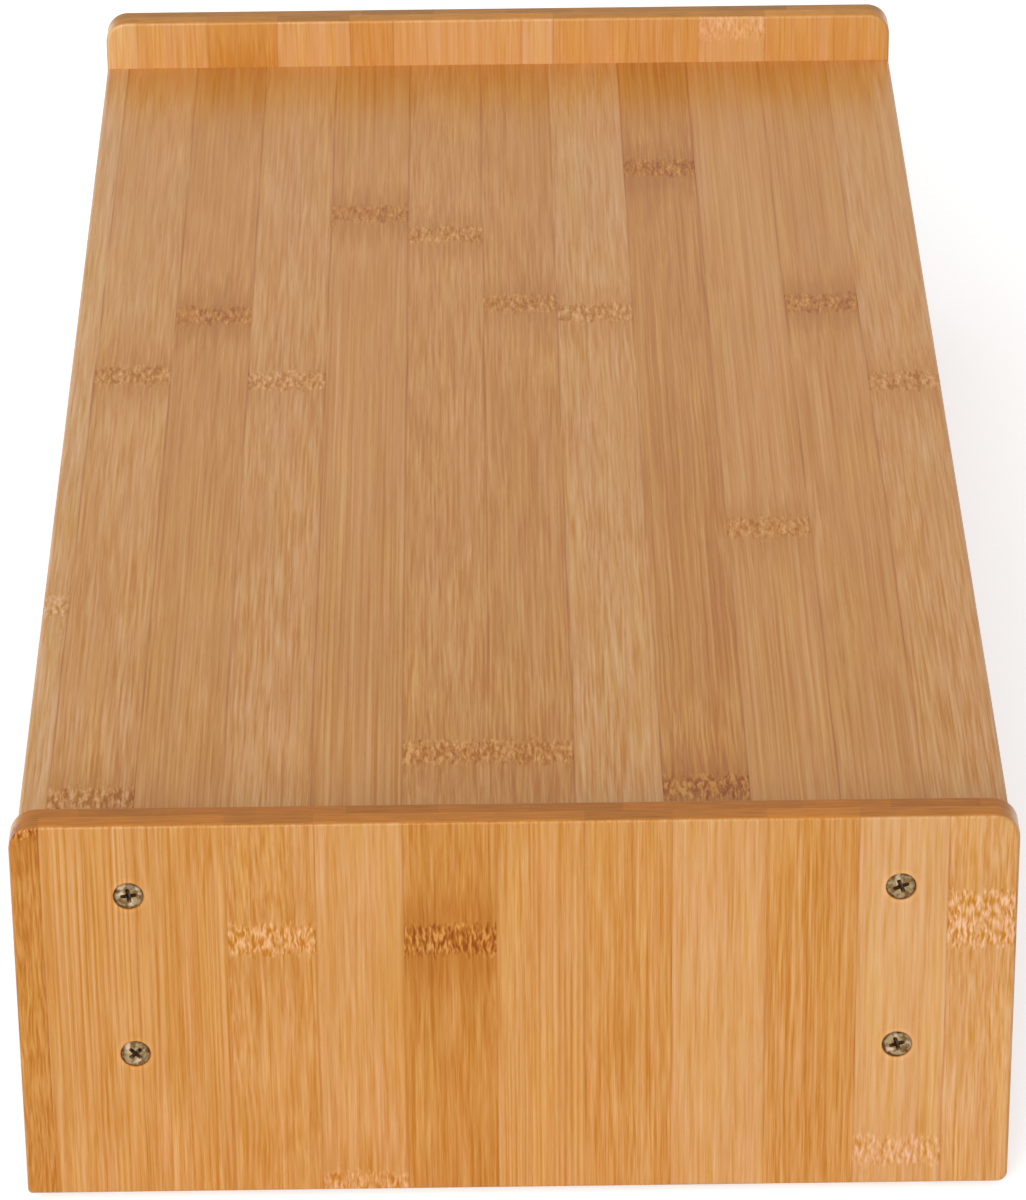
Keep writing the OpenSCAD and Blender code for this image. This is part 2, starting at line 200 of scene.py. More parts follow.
class Graph:
    """Builds one node tree, for a material, the world or Geometry Nodes."""

    def __init__(self, tree: bpy.types.NodeTree) -> None:
        """Starts with a tree and leaves what is in it."""
        self.tree = tree

    @staticmethod
    def pick(sockets: Iterable[Socket], key: Union[str, int]) -> Socket:
        """Finds a socket that is in use by its place, name or identifier.

        Args:
            sockets: A node's inputs or outputs.
            key: Its place, name or identifier.

        Returns:
            The socket.
        """
        if isinstance(key, int):
            return list(sockets)[key]
        return next(s for s in sockets if s.enabled and key in (s.name, s.identifier))

    def feed(self, socket: Socket, value: object) -> None:
        """Links a socket to an output, or sets its plain value.

        Args:
            socket: The input.
            value: An output or a plain value.
        """
        value = value.socket if isinstance(value, Value) else value
        if isinstance(value, Socket):
            self.tree.links.new(value, socket)
        else:
            socket.default_value = value

    def node(self, kind: str, settings: Optional[dict[str, object]] = None,
             sockets: Optional[dict[Union[str, int], object]] = None) -> bpy.types.Node:
        """Adds a node.

        Args:
            kind: The node's type.
            settings: Its settings, set before its sockets; "stops" fills a colour ramp.
            sockets: Values or outputs for its inputs, by name or place.

        Returns:
            The new node.
        """
        node = self.tree.nodes.new(kind)
        for name, value in (settings or {}).items():
            if name == "stops":
                self._set_stops(node.color_ramp, value)
            else:
                setattr(node, name, value)
        for key, value in (sockets or {}).items():
            self.feed(self.pick(node.inputs, key), value)
        return node

    @staticmethod
    def _set_stops(ramp: bpy.types.ColorRamp, stops: Sequence[tuple[float, Colour]]) -> None:
        """Gives a ramp constant steps that start at the stops' places, the first at 0.

        Args:
            ramp: The ramp.
            stops: Place and colour of each step.
        """
        ramp.interpolation = "CONSTANT"
        ramp.elements.remove(ramp.elements[-1])
        for number, (place, colour) in enumerate(stops):
            element = ramp.elements.new(place) if number else ramp.elements[0]
            element.color = (*colour, 1.0)

    def math(self, operation: str, *terms: Operand) -> Value:
        """Adds a Math node on the terms."""
        node = self.node("ShaderNodeMath", {"operation": operation}, dict(enumerate(terms)))
        return Value(self, node.outputs[0])

    def vector(self, operation: str, first: Socket, second: object) -> Socket:
        """Adds a Vector Math node on two vectors, or on one and a number to scale it by."""
        sockets = {0: first, "Scale" if operation == "SCALE" else 1: second}
        return self.node("ShaderNodeVectorMath", {"operation": operation}, sockets).outputs[0]

    def joined(self, parts: Sequence[Operand]) -> Socket:
        """Joins three values into a vector."""
        return self.node("ShaderNodeCombineXYZ", {}, dict(enumerate(parts))).outputs[0]

    def parted(self, vector: Socket) -> list[Value]:
        """Parts a vector or a colour into three values."""
        node = self.node("ShaderNodeSeparateXYZ", {}, {0: vector})
        return [Value(self, output) for output in node.outputs]

    def noise(self, place: Iterable[Operand], sizes: Sequence[float], detail: float = 1.0,
              roughness: float = 0.5, shift: float = 0.0) -> Value:
        """Gives smooth noise around 0.5.

        Args:
            place: The point at which it is read.
            sizes: Size of its spots along the three axes.
            detail: Number of finer layers on it.
            roughness: Strength of the finer layers.
            shift: Moves it along the first axis, counted in spots.

        Returns:
            The noise.
        """
        first, *others = (part / size for part, size in zip(place, sizes))
        vector = self.joined((first + shift if shift else first, *others))
        node = self.node("ShaderNodeTexNoise", {"noise_dimensions": "3D"},
                         {"Vector": vector, "Scale": 1.0, "Detail": detail, "Roughness": roughness})
        return Value(self, node.outputs["Fac"])

    def wave(self, *terms: object, **more: float) -> Value:
        """Gives the same noise around 0."""
        return self.noise(*terms, **more) - 0.5

    def mix(self, share: Operand, first: object, second: object, blend: str = "MIX") -> Socket:
        """Mixes two colours by a share. A plain colour gets its alpha here.

        Args:
            share: Share of the second colour.
            first: The first colour.
            second: The second colour.
            blend: How they are mixed.

        Returns:
            The mixed colour.
        """
        settings = {"data_type": "RGBA", "blend_type": blend, "clamp_factor": True}
        sides = [(*side, 1.0) if isinstance(side, tuple) else side for side in (first, second)]
        node = self.node("ShaderNodeMix", settings, {"Factor": share, "A": sides[0], "B": sides[1]})
        return self.pick(node.outputs, "Result")

    def tinted(self, colour: Socket, *tints: tuple[Operand, object]) -> Socket:
        """Multiplies a colour by tints, each with its share.

        Args:
            colour: The colour.
            tints: The tints.

        Returns:
            The tinted colour.
        """
        for share, tint in tints:
            colour = self.mix(share, colour, tint, "MULTIPLY")
        return colour


class ShaderGraph(Graph):
    """The node tree of a new material."""

    def __init__(self, name: str) -> None:
        """Makes a material with a plain shader.

        Args:
            name: Name of the material.
        """
        self.material = bpy.data.materials.new(name)
        self.material.use_nodes = True
        self.material.node_tree.nodes.clear()
        super().__init__(self.material.node_tree)
        self.shader = self.node("ShaderNodeBsdfPrincipled")
        self.node("ShaderNodeOutputMaterial", {"target": "ALL"}, {"Surface": self.shader.outputs[0]})

    def read(self, name: str, scale: float = 1.0) -> dict[str, Value]:
        """Gives an output of the Texture Coordinate node, scaled, by axis letter."""
        output = self.node("ShaderNodeTexCoord").outputs[name]
        return dict(zip("xyz", self.parted(self.vector("SCALE", output, scale))))

    @cached_property
    def place(self) -> dict[str, Value]:
        """The point on the object in millimetres, by axis letter."""
        return self.read("Object", 1 / METRE)

    def cloud(self, size: float, detail: float, shift: float = 0.0) -> Value:
        """Gives noise with spots of one size all ways."""
        return self.noise(self.place.values(), (size,) * 3, detail, shift=shift)

    def finish(self, sockets: dict[str, object], height: Value, relief: float) -> Material:
        """Sets the shader's sockets.

        Args:
            sockets: Plain values and outputs for them, by name.
            height: Relief of the surface, 0 to 1.
            relief: Depth of that relief in millimetres.

        Returns:
            The finished material.
        """
        bump = self.node("ShaderNodeBump", {}, {"Strength": 1.0, "Distance": relief * METRE,
                                                "Height": height})
        for name, value in {**sockets, "Normal": bump.outputs[0]}.items():
            self.feed(self.shader.inputs[name], value)
        return self.material


class Solid:
    """A closed mesh in the making, in millimetres."""

    def __init__(self) -> None:
        """Starts empty."""
        self.shape = bmesh.new()

    def stack(self, rings: Sequence[Sequence[Vector]]) -> "Solid":
        """Adds a shell through rings of points, closed at both ends.

        Args:
            rings: Rings with the same number of points; the first and last may be one point.

        Returns:
            This solid.
        """
        rows = [[self.shape.verts.new(point) for point in ring] for ring in rings]
        for low, high in zip(rows, rows[1:]):
            count = max(len(low), len(high))
            for i in range(count):
                j = (i + 1) % count
                corners = (low[i % len(low)], low[j % len(low)],
                           high[j % len(high)], high[i % len(high)])
                self.shape.faces.new(tuple(dict.fromkeys(corners)))
        for cap in (rows[0], rows[-1]):
            if len(cap) > 1:
                self.shape.faces.new(cap)
        return self

    def lathe(self, profile: Sequence[Point], segments: int,
              radius: Callable[[float, float, float], float] = lambda r, z, angle: r) -> "Solid":
        """Adds a shell turned about the Z axis.

        Args:
            profile: Radius and height of each ring, first and last on the axis.
            segments: Number of points in a ring.
            radius: Changes a ring's radius by its height and the angle.

        Returns:
            This solid.
        """
        angles = [step * math.tau / segments for step in range(segments)]
        return self.stack([[Vector((*polar(radius(r, z, a), a), z)) for a in angles] if r
                           else [Vector((0, 0, z))] for r, z in profile])

    def box(self, low: Sequence[float], high: Sequence[float]) -> "Solid":
        """Adds a block between two corners."""
        corners = [(low[0], low[1]), (high[0], low[1]), (high[0], high[1]), (low[0], high[1])]
        return self.stack([[Vector((x, y, z)) for x, y in corners] for z in (low[2], high[2])])

    def moved(self, matrix: Matrix) -> "Solid":
        """Moves and turns all that is in it."""
        bmesh.ops.transform(self.shape, matrix=matrix, verts=self.shape.verts)
        return self

    def join(self, other: "Solid") -> "Solid":
        """Takes over another solid's shells.

        Args:
            other: The other solid, which is used up.

        Returns:
            This solid.
        """
        mesh = bpy.data.meshes.new("joined")
        other.shape.to_mesh(mesh)
        self.shape.from_mesh(mesh)
        bpy.data.meshes.remove(mesh)
        other.shape.free()
        return self

    def made(self, name: str) -> Piece:
        """Turns the solid into an object in metres, with its faces outwards.

        Args:
            name: Name of the object.

        Returns:
            The object.
        """
        bmesh.ops.recalc_face_normals(self.shape, faces=self.shape.faces)
        bmesh.ops.scale(self.shape, vec=(METRE,) * 3, verts=self.shape.verts)
        mesh = bpy.data.meshes.new(name)
        self.shape.to_mesh(mesh)
        self.shape.free()
        piece = bpy.data.objects.new(name, mesh)
        bpy.context.scene.collection.objects.link(piece)
        return piece


@dataclass(frozen=True)
class Arc:
    """One arc of a board's outline.

    Attributes:
        centre: Its centre.
        radius: Its radius.
        start: Angle at its start, in degrees.
        end: Angle at its end, in degrees.
        hollow: Whether it bites into the board.
    """

    centre: Point
    radius: float
    start: float
    end: float
    hollow: bool = False

    def points(self, inset: float, step: float = 6.0) -> list[Point]:
        """Gives the arc's points on the outline that lies a distance inside.

        Args:
            inset: How far inside the outline lies.
            step: Usual angle between two points, in degrees.

        Returns:
            The points.
        """
        reach = self.radius + inset if self.hollow else self.radius - inset
        count = max(2, round(abs(self.end - self.start) / step))
        turn = (self.end - self.start) / count
        ways = (polar(reach, math.radians(self.start + turn * i)) for i in range(count + 1))
        return [(self.centre[0] + x, self.centre[1] + y) for x, y in ways]


def rounded_outline(width: Point, height: Point, feet: Point, top: float) -> list[Arc]:
    """Gives the outline of a rectangle with rounded corners.

    Args:
        width: Lowest and highest place on its first axis.
        height: Lowest and highest place on its second axis.
        feet: Radii of the lower left and the lower right corner.
        top: Radius of the upper corners.

    Returns:
        Its arcs, anticlockwise from the lower left corner.
    """
    left, right = feet
    return [Arc((width[0] + left, height[0] + left), left, 180, 270),
            Arc((width[1] - right, height[0] + right), right, 270, 360),
            Arc((width[1] - top, height[1] - top), top, 0, 90),
            Arc((width[0] + top, height[1] - top), top, 90, 180)]


def eased_slab(outline: Sequence[Arc], faces: Point, ease: float, order: str) -> Solid:
    """Makes a flat board with both faces' edges rounded.

    Args:
        outline: The board's outline in its own plane.
        faces: Places of its lower and upper face.
        ease: Radius of its edges.
        order: The two axes of the plane, then the axis through the board.

    Returns:
        The board.
    """
    bend = [(ease * (1 - math.sin(a)), ease * (1 - math.cos(a))) for a in quarter(6)]
    levels = [(inset, faces[0] + rise) for inset, rise in bend]
    levels += [(inset, faces[1] - rise) for inset, rise in reversed(bend)]
    return Solid().stack([[laid(order, *point, level) for arc in outline
                           for point in arc.points(inset)] for inset, level in levels])


def eased_bar(width: Point, height: Point, ends: Point, order: str,
              foot: float = SIZES.ease) -> Solid:
    """Makes a straight board with its long edges rounded.

    Args:
        width: Lowest and highest place of its section on its first axis.
        height: Lowest and highest place of its section on its second axis.
        ends: Places of its two ends.
        order: The two axes of the section, then the axis along the board.
        foot: Radius of the lower edges.

    Returns:
        The board.
    """
    section = [point for arc in rounded_outline(width, height, (foot, foot), SIZES.ease)
               for point in arc.points(0.0, 15.0)]
    return Solid().stack([[laid(order, *point, place) for point in section] for place in ends])


@dataclass(frozen=True)
class Corners:
    """Equal fasteners at the four corners of a rectangle.

    Attributes:
        axes: The two axes of the rectangle, then the axis along the fasteners.
        centre: Its middle.
        spread: Half its width and height.
        head: Radius of the fasteners' heads.
    """

    axes: str
    centre: Point
    spread: Point
    head: float = 0.0

    def radius(self, graph: ShaderGraph) -> Value:
        """Gives the distance from the nearest fastener's axis."""
        first, second = (abs(abs(graph.place[axis] - middle) - half)
                         for axis, middle, half in zip(self.axes, self.centre, self.spread))
        return graph.math("SQRT", first * first + second * second)

    def holes(self, tool: Callable[[], Solid], level: float, angle: float = 0.0,
              axis: str = "X") -> Solid:
        """Puts four copies of a cutter at the corners.

        Args:
            tool: Makes one copy, which points to -Z.
            level: Place of the copies along the fasteners.
            angle: Turn of each copy.
            axis: Axis of that turn.

        Returns:
            The four copies as one solid.
        """
        cutter = Solid()
        for i in ENDS:
            for j in ENDS:
                flat = [m + side * h for m, side, h in zip(self.centre, (i, j), self.spread)]
                place = Matrix.Translation(laid(self.axes, *flat, level))
                cutter.join(tool().moved(place @ Matrix.Rotation(angle, 4, axis)))
        return cutter


class Lay(Enum):
    """How a board lies: its axes along the grain, across the strips and through the plies."""

    SHELF = "xyz"
    END_PANEL = "zyx"
    WALL = "yzx"
    CROSS_WALL = "xzy"
    BOTTOM = "yxz"


class Plating(Enum):
    """Colours of a metal, its stains, its grime and painted shade at the head's rim and recess, its
    painted highlights, and its roughness.
    """

    YELLOW_ZINC = (srgb(164, 145, 109), srgb(116, 88, 50), srgb(66, 34, 12), srgb(218, 192, 166), 0.34)
    BRIGHT_STEEL = (srgb(186, 186, 190), srgb(150, 150, 154), srgb(90, 88, 84), srgb(208, 208, 212), 0.3)


@dataclass(frozen=True)
class Strip:
    """One strip of a laminated board.

    Attributes:
        tone: How pale it is, from -1 for deep orange to 2 for cream.
        knuckles: Places of its knuckles along the grain, at most two.
        burn: How dark its knuckles are, from -1 for pale to 1 for brown.
        lean: How much its fibres lean and wander along its whole length, 0 to 1.
        crisp: Contrast of its fibres, up to 1.3.
        dash: How short its fibres are: 0 for long lines, 0.5 for dashes, 1 for flames.
    """

    tone: float = 0.0
    knuckles: tuple[float, ...] = ()
    burn: float = 0.0
    lean: float = 0.0
    crisp: float = 1.0
    dash: float = 0.4


@dataclass(frozen=True)
class Ply:
    """One layer of strips glued side by side.

    Attributes:
        seams: Places of the glued seams across the strips.
        strips: The strips, one more than the seams.
    """

    seams: tuple[float, ...]
    strips: tuple[Strip, ...]

    @classmethod
    def drawn(cls, seed: int, span: Point, run: Point, pitch: float = 23.9,
              calm: float = 1.0) -> "Ply":
        """Draws a ply for a board that the picture doesn't show.

        Args:
            seed: Fixed start of the draw.
            span: Lowest and highest place across the strips.
            run: Lowest and highest place along the grain.
            pitch: Usual width of a strip.
            calm: Share of the usual differences between strips.

        Returns:
            The ply.
        """
        draw = random.Random(seed)
        seams: list[float] = []
        place = span[0] + pitch * draw.uniform(0.35, 1.0)
        while place < span[1] - 0.15 * pitch:
            seams.append(place)
            place += pitch * draw.uniform(0.97, 1.03)
        strips = []
        for _ in range(len(seams) + 1):
            first = run[0] + draw.uniform(0.0, 1.0) * 300
            second = first + draw.uniform(230, 300)
            strips.append(Strip(calm * draw.uniform(-0.75, 0.75), (first, second),
                                draw.uniform(-0.5, 0.8), 0.0, draw.uniform(0.8, 1.2),
                                draw.uniform(0.1, 0.8)))
        return cls(tuple(seams), tuple(strips))


class BambooGraph(ShaderGraph):
    """The node tree of a laminated board: the strip and fibres at a point and their colours."""

    CREAMY = (1.13, 1.39, 2.45)
    ORANGE = (0.87, 0.76, 0.41)
    GOLD = (1.01, 1.02, 0.82)
    ROSE = (1.0, 0.965, 1.05)
    BURN = (0.68, 0.50, 0.10)
    BLEACH = (1.28, 1.38, 2.05)
    GLUE = (0.70, 0.50, 0.24)
    PALEST = 2.0
    CRISPEST = 1.3
    WIDEST = 100.0
    FAR_OFF = 400.0

    def __init__(self, board: "BambooFinish") -> None:
        """Finds the strip at a point and draws its fibres.

        Args:
            board: The board's finish.
        """
        super().__init__(board.name)
        self.board = board
        self.along, self.across, self.through = (self.place[axis] for axis in board.lay.value)
        upper, lower = (sum((self.across > seam for seam in ply.seams), 0)
                        for ply in (board.upper, board.lower))
        self.index = (lower + len(board.upper.strips)).mixed(upper, self.through > board.split)
        self.strip = self._look_up()
        slope = board.fade / (board.run[1] - board.run[0])
        self.vigour = self.along * slope + (1 - sum(board.run) / 2 * slope)
        shifted = self.along + self.index * 173.7 + board.seed * 31.1
        self.grain = (shifted, self.across, self.through)
        self.fibres, self.near, self.core = self._fibres()

    def _look_up(self) -> dict[str, Value]:
        """Looks up the numbers of the strip at a point in colour ramps.

        Returns:
            Its own numbers by name, its middle, half its width and its knuckles' places.
        """
        board = self.board
        reach = (board.run[0] - self.FAR_OFF, board.run[1] + self.FAR_OFF)
        ranges = {"tone": (-self.PALEST, self.PALEST), "burn": (-1, 1), "crisp": (0, self.CRISPEST),
                  "middle": board.span, "half": (0, self.WIDEST), "lean": (0, 1),
                  "first": reach, "second": reach, "dash": (0, 1)}
        rows = []
        for ply in (board.upper, board.lower):
            edges = [board.span[0], *ply.seams, board.span[1]]
            for strip, *sides in zip(ply.strips, edges, edges[1:]):
                places = [min(place, reach[1]) for place in (*strip.knuckles, *reach[1:] * 2)]
                given = (*halved(*sides), *places[:2])
                rows.append({**vars(strip), **dict(zip(("middle", "half", "first", "second"), given))})
        numbers = {}
        for group in (list(ranges)[start:start + 3] for start in (0, 3, 6)):
            stops = [(number / len(rows), [(row[name] - ranges[name][0]) / (
                ranges[name][1] - ranges[name][0]) for name in group])
                for number, row in enumerate(rows)]
            ramp = self.node("ShaderNodeValToRGB", {"stops": stops},
                             {"Fac": (self.index + 0.5) / len(rows)})
            for name, part in zip(group, self.parted(ramp.outputs["Color"])):
                low, high = ranges[name]
                numbers[name] = part * (high - low) + low
        return numbers

    def _fibres(self) -> tuple[Value, Value, Value]:
        """Draws the fibres, which turn to ragged worm-like dashes at a knuckle.

        Returns:
            The fibres, 0 for dark to 1 for light, how near the knuckle is, and its core.
        """
        strip, grain, knuckle = self.strip, self.grain, self.board.knuckle
        gap = self.math("MINIMUM", abs(self.along - strip["first"]),
                        abs(self.along - strip["second"])) / knuckle
        near = (gap + self.wave(grain, (16, 0.9, 3)) * 22).fall(5, 21)
        core = (gap + self.wave(grain, (2.6, 1.1, 3)) * 7).fall(3.2, 6.0)
        sway = self.wave(grain, (30, 8, 9)) * (0.5 + strip["lean"] * 7 + near * 0.8)
        curl = self.wave(grain, (2.6, 1.6, 4)) * core * 1.3
        bent = (grain[0], self.across + sway + curl, self.through)

        def pattern(length: float, width: float, detail: float = 2.0) -> Value:
            """Gives noise drawn out along the bent fibres."""
            size = width * self.board.fibre
            return self.wave(bent, (length, size, size), detail, 0.55)
        short = strip["dash"] * 2 + self.wave(grain, (40, 12, 12), 0.0) * 1.4 + gap.fall(6, 55) * 0.5
        lines = pattern(140, 0.86).mixed(pattern(26, 0.8), short.rise(0.0, 1.0))
        lines = lines.mixed(pattern(10, 0.78), short.rise(1.0, 2.0))
        pores = pattern(8, 0.45, 1.0)
        lines = lines * 2.45 + pores * 0.5 - pores.rise(0.10, 0.26) * 0.22
        knot = pattern(3.6, 0.9, 1.0) * (3.9 / knuckle)
        fibres = lines.mixed(knot, core * 0.9) * (strip["crisp"] * self.vigour) + 0.5
        return Value(self, self.node("ShaderNodeClamp", {}, {0: fibres}).outputs[0]), near, core

    def strip_colour(self) -> Socket:
        """Colours the fibres, with long streaks that are paler, deeper, golden or rosy.

        Returns:
            The colour.
        """
        hue = self.noise(self.grain, (60, 5, 5), shift=7.5)
        cast = self.strip["tone"] + self.wave(self.grain, (48, 3.0, 3.0), 1.5) * 1.5
        return self.tinted(self.mix(self.fibres, self.board.deep, self.board.pale),
                           (cast / self.PALEST, self.CREAMY), (0 - cast, self.ORANGE),
                           (hue.rise(0.50, 0.68) * 0.6, self.GOLD),
                           (hue.fall(0.32, 0.48) * 0.7, self.ROSE))

    def knuckle_colour(self, colour: Socket) -> Socket:
        """Browns or bleaches the wood at a knuckle.

        Args:
            colour: The strips' colour.

        Returns:
            The colour with the knuckles.
        """
        burn, core, fibres = self.strip["burn"], self.core, self.fibres
        patch = self.noise((self.across, burn * 4.5 + 4.5, 0), (7, 1, 1), shift=self.board.seed)
        dark, light = burn.rise(0, 1), (0 - burn).rise(0, 1)
        warmed = self.near * (0.2 + dark * 0.8) * (1 - core * fibres * 0.5)
        browned = core * (0.35 + patch.rise(0.3, 0.6) * 0.6) * dark * (1.3 - fibres * 1.1)
        browned = browned / self.board.knuckle * self.math("MINIMUM", self.vigour, 1.0)
        bleached = core * (light * 0.4 + 0.45) * fibres
        return self.tinted(colour, (warmed, self.ORANGE), (browned, self.BURN),
                           (bleached, self.BLEACH))

    def glued_colour(self, colour: Socket, edge: Value) -> Socket:
        """Darkens the seams, an edge's distance away, and the glue line between the plies.

        Args:
            colour: The wood's colour.
            edge: Distance from the strip's edge.

        Returns:
            The colour with the glue lines.
        """
        seam = self.noise((self.index * 3.7, self.along, 0), (1, 40, 1), 0.0).rise(0.35, 0.6)
        line = edge.fall(0.0, 0.65) * (0.12 + seam * 0.4) * self.board.glue
        line = line + abs(self.through - self.board.split).fall(0.06, 0.22) * 0.6
        return self.tinted(colour, (line, self.GLUE))

    def end_colour(self) -> Socket:
        """Colours the sanded ends of the strips, in fine streaks along the board's edge.

        Returns:
            The colour.
        """
        board = self.board
        rows = self.wave((self.across, self.through, 0), (11, 0.7, 1), 2.0, 0.6, board.seed)
        block = self.wave((self.index * 5.3, 0.5, 0.5), (1, 1, 1), 0.0, shift=board.seed)
        # On the left end panel the two tints are partly painted light on the top edge.
        tint = self.mix(self.through > board.split, board.ends[1], board.ends[0])
        colour = self.tinted(self.mix(0.45, board.deep, board.pale), (1.0, tint))
        return self.vector("SCALE", colour, 1 + rows * 0.8 + block * 0.6)


@dataclass(frozen=True)
class BambooFinish:
    """Satin lacquered bamboo strips in two plies.

    Attributes:
        name: Name of the material.
        lay: How the board lies.
        upper: The ply on the side of the higher numbers through the board.
        lower: The other ply.
        split: Place of the glue line between them.
        run: Lowest and highest place along the grain.
        span: Lowest and highest place across the strips.
        pale: Colour of the light fibres.
        deep: Colour of the dark fibres.
        ends: Tint of the sanded ends of the upper ply's strips, then of the lower ply's; on the left end
            panel these also hold painted light.
        bores: Screws or brads whose heads show in the board, if any.
        gloss: Roughness of the lacquer.
        fibre: Width of a fibre against the usual one.
        knuckle: Height of a knuckle against the usual one, and a taller one is fainter.
        glue: Darkness of the glued seams against the usual one.
        fade: Loss of the fibres' contrast from the high end of the grain to the low end.
        seed: Moves the grain, so that no two boards share it.
    """

    name: str
    lay: Lay
    upper: Ply
    lower: Ply
    split: float
    run: Point
    span: Point
    pale: Colour = srgb(226, 169, 104)
    deep: Colour = srgb(198, 123, 14)
    ends: tuple[Colour, Colour] = ((0.84, 0.70, 0.50), (0.76, 0.62, 0.42))
    bores: Optional[Corners] = None
    gloss: float = 0.33
    fibre: float = 1.0
    knuckle: float = 1.0
    glue: float = 1.0
    fade: float = 0.0
    seed: int = 0

    LACQUER = 0.3

    def make(self) -> Material:
        """Builds the material.

        Returns:
            The material.
        """
        graph = BambooGraph(self)
        edge = graph.strip["half"] - abs(graph.across - graph.strip["middle"])
        colour = graph.glued_colour(graph.knuckle_colour(graph.strip_colour()), edge)
        place = (graph.along, graph.across, graph.through)
        shade = 1 + graph.wave(place, (50, 9, 9), shift=self.seed) * 0.10
        end_grain = abs(graph.read("Normal")[self.lay.value[0]]).rise(0.55, 0.95)
        colour = graph.mix(end_grain, colour, graph.end_colour())
        # Around each screw head the countersink's wall is darkened, partly a burnt stain and partly
        # painted shade of the hole, and a wider ring round it is lightened.
        if self.bores:
            radius, head = self.bores.radius(graph), self.bores.head
            wall = radius.fall(head + 0.1, head + 0.45)
            halo = radius.fall(head + 0.6, head + 1.8)
            colour = graph.tinted(colour, (wall * 0.6, graph.BURN))
            shade = shade * (1 + (halo - wall) * 0.10)
        return graph.finish({
            "IOR": 1.45, "Specular IOR Level": 0.25, "Metallic": 0.0,
            "Coat Roughness": self.gloss, "Coat IOR": 1.45,
            "Base Color": graph.vector("SCALE", colour, shade),
            "Roughness": self.gloss + (graph.fibres - 0.5) * 0.08 + end_grain * 0.15,
            "Coat Weight": (1 - end_grain) * (1 - graph.core * 0.8) * self.LACQUER,
        }, graph.noise(graph.grain, (30, 0.6, 0.6)) + edge.rise(0.0, 0.25) * 0.5, 0.03)


def side_finish(name: str, lay: Lay, split: float, run: Point, span: Point, seed: int,
                bores: Optional[Corners] = None) -> BambooFinish:
    """Gives the paler bamboo with narrow strips that walls are cut from.

    Args:
        name: Name of the material.
        lay: How the board lies.
        split: Place of the middle through the board.
        run: Lowest and highest place along the grain.
        span: Lowest and highest place across the strips.
        seed: Fixed start of its draw.
        bores: Brads whose heads show in it, if any.

    Returns:
        The finish.
    """
    upper, lower = (Ply.drawn(start, span, run, 6.4, 0.7) for start in (seed, seed + 1))
    return BambooFinish(name, lay, upper, lower, split, run, span, srgb(244, 202, 146),
                        srgb(212, 154, 90), bores=bores, gloss=0.42, fibre=0.8, seed=seed)


@dataclass(frozen=True)
class PlainWoodFinish:
    """A plain wood without strips, for the drawers' bottoms and the dowels.

    Attributes:
        name: Name of the material.
        lay: Its axes along the grain, across it and through it.
        pale: Colour of the light fibres.
        deep: Colour of the dark fibres.
        width: Width of the growth bands.
        gloss: Roughness of the surface.
    """

    name: str
    lay: Lay
    pale: Colour
    deep: Colour
    width: float
    gloss: float

    def make(self) -> Material:
        """Builds the material.

        Returns:
            The material.
        """
        graph = ShaderGraph(self.name)
        place = [graph.place[axis] for axis in self.lay.value]
        fine = graph.noise(place, (14, 0.5, 0.5), 2.0)
        bands = graph.noise(place, (130, self.width, self.width), 2.0)
        flecks = graph.noise(place, (2.5, 0.35, 0.35)).rise(0.62, 0.74)
        lines = (fine - 0.5) * 1.6 + (bands - 0.5) * 1.4 + 0.5 - flecks * 0.25
        return graph.finish({"IOR": 1.45, "Metallic": 0.0,
                             "Base Color": graph.mix(lines, self.deep, self.pale),
                             "Roughness": self.gloss + (fine - 0.5) * 0.1}, fine, 0.04)


@dataclass(frozen=True)
class PlatedFinish:
    """Plated or drawn metal on fasteners.

    Attributes:
        name: Name of the material.
        plating: Its metal.
        corners: The fasteners.
        face: Place of the heads' faces along the fasteners, counted from zero outwards.
    """

    name: str
    plating: Plating
    corners: Corners
    face: float

    def make(self) -> Material:
        """Builds the material.

        Returns:
            The material.
        """
        graph = ShaderGraph(self.name)
        bright, dull, grime_and_shade, glow, gloss = self.plating.value
        radius = self.corners.radius(graph) / self.corners.head
        below = abs(abs(graph.place[self.corners.axes[2]]) - self.face)
        spots, painted_highlight_spots, shadow = (graph.cloud(*how) for how in ((1.9, 2), (2.6, 1, 9), (3.4, 0, 4)))
        turning = graph.noise((radius * 14, below * 3, 0), (1, 1, 1))
        head = below.fall(2.2, 2.8)
        # rim darkens the head's edge and pit darkens its cross recess: partly grime, partly painted
        # shade of the gap and the recess. The shadow noise paints that shade heavier on some sides of
        # the rim.
        rim = (radius + (spots - 0.5) * 0.3).rise(0.70, 0.97) * head
        pit = below.rise(0.15, 0.9) * radius.fall(0.58, 0.64) * head
        painted_shade_and_grime = rim * (shadow.rise(0.40, 0.60) * 0.65 + 0.22) + pit * 0.85
        colour = graph.mix(spots.rise(0.38, 0.62), bright, dull)
        # glow is a painted highlight: pale patches mixed into the metal's colour where the highlight
        # noise is high.
        colour = graph.mix(painted_highlight_spots.rise(0.54, 0.70) * 0.8, colour, glow)
        return graph.finish({
            "IOR": 1.5, "Base Color": graph.mix(painted_shade_and_grime, colour, grime_and_shade),
            "Roughness": gloss + (spots - 0.5) * 0.22 + (turning - 0.5) * 0.06 + pit * 0.2,
            "Metallic": 1 - pit * 0.7 - rim * 0.2}, spots + turning * 0.5, 0.02)


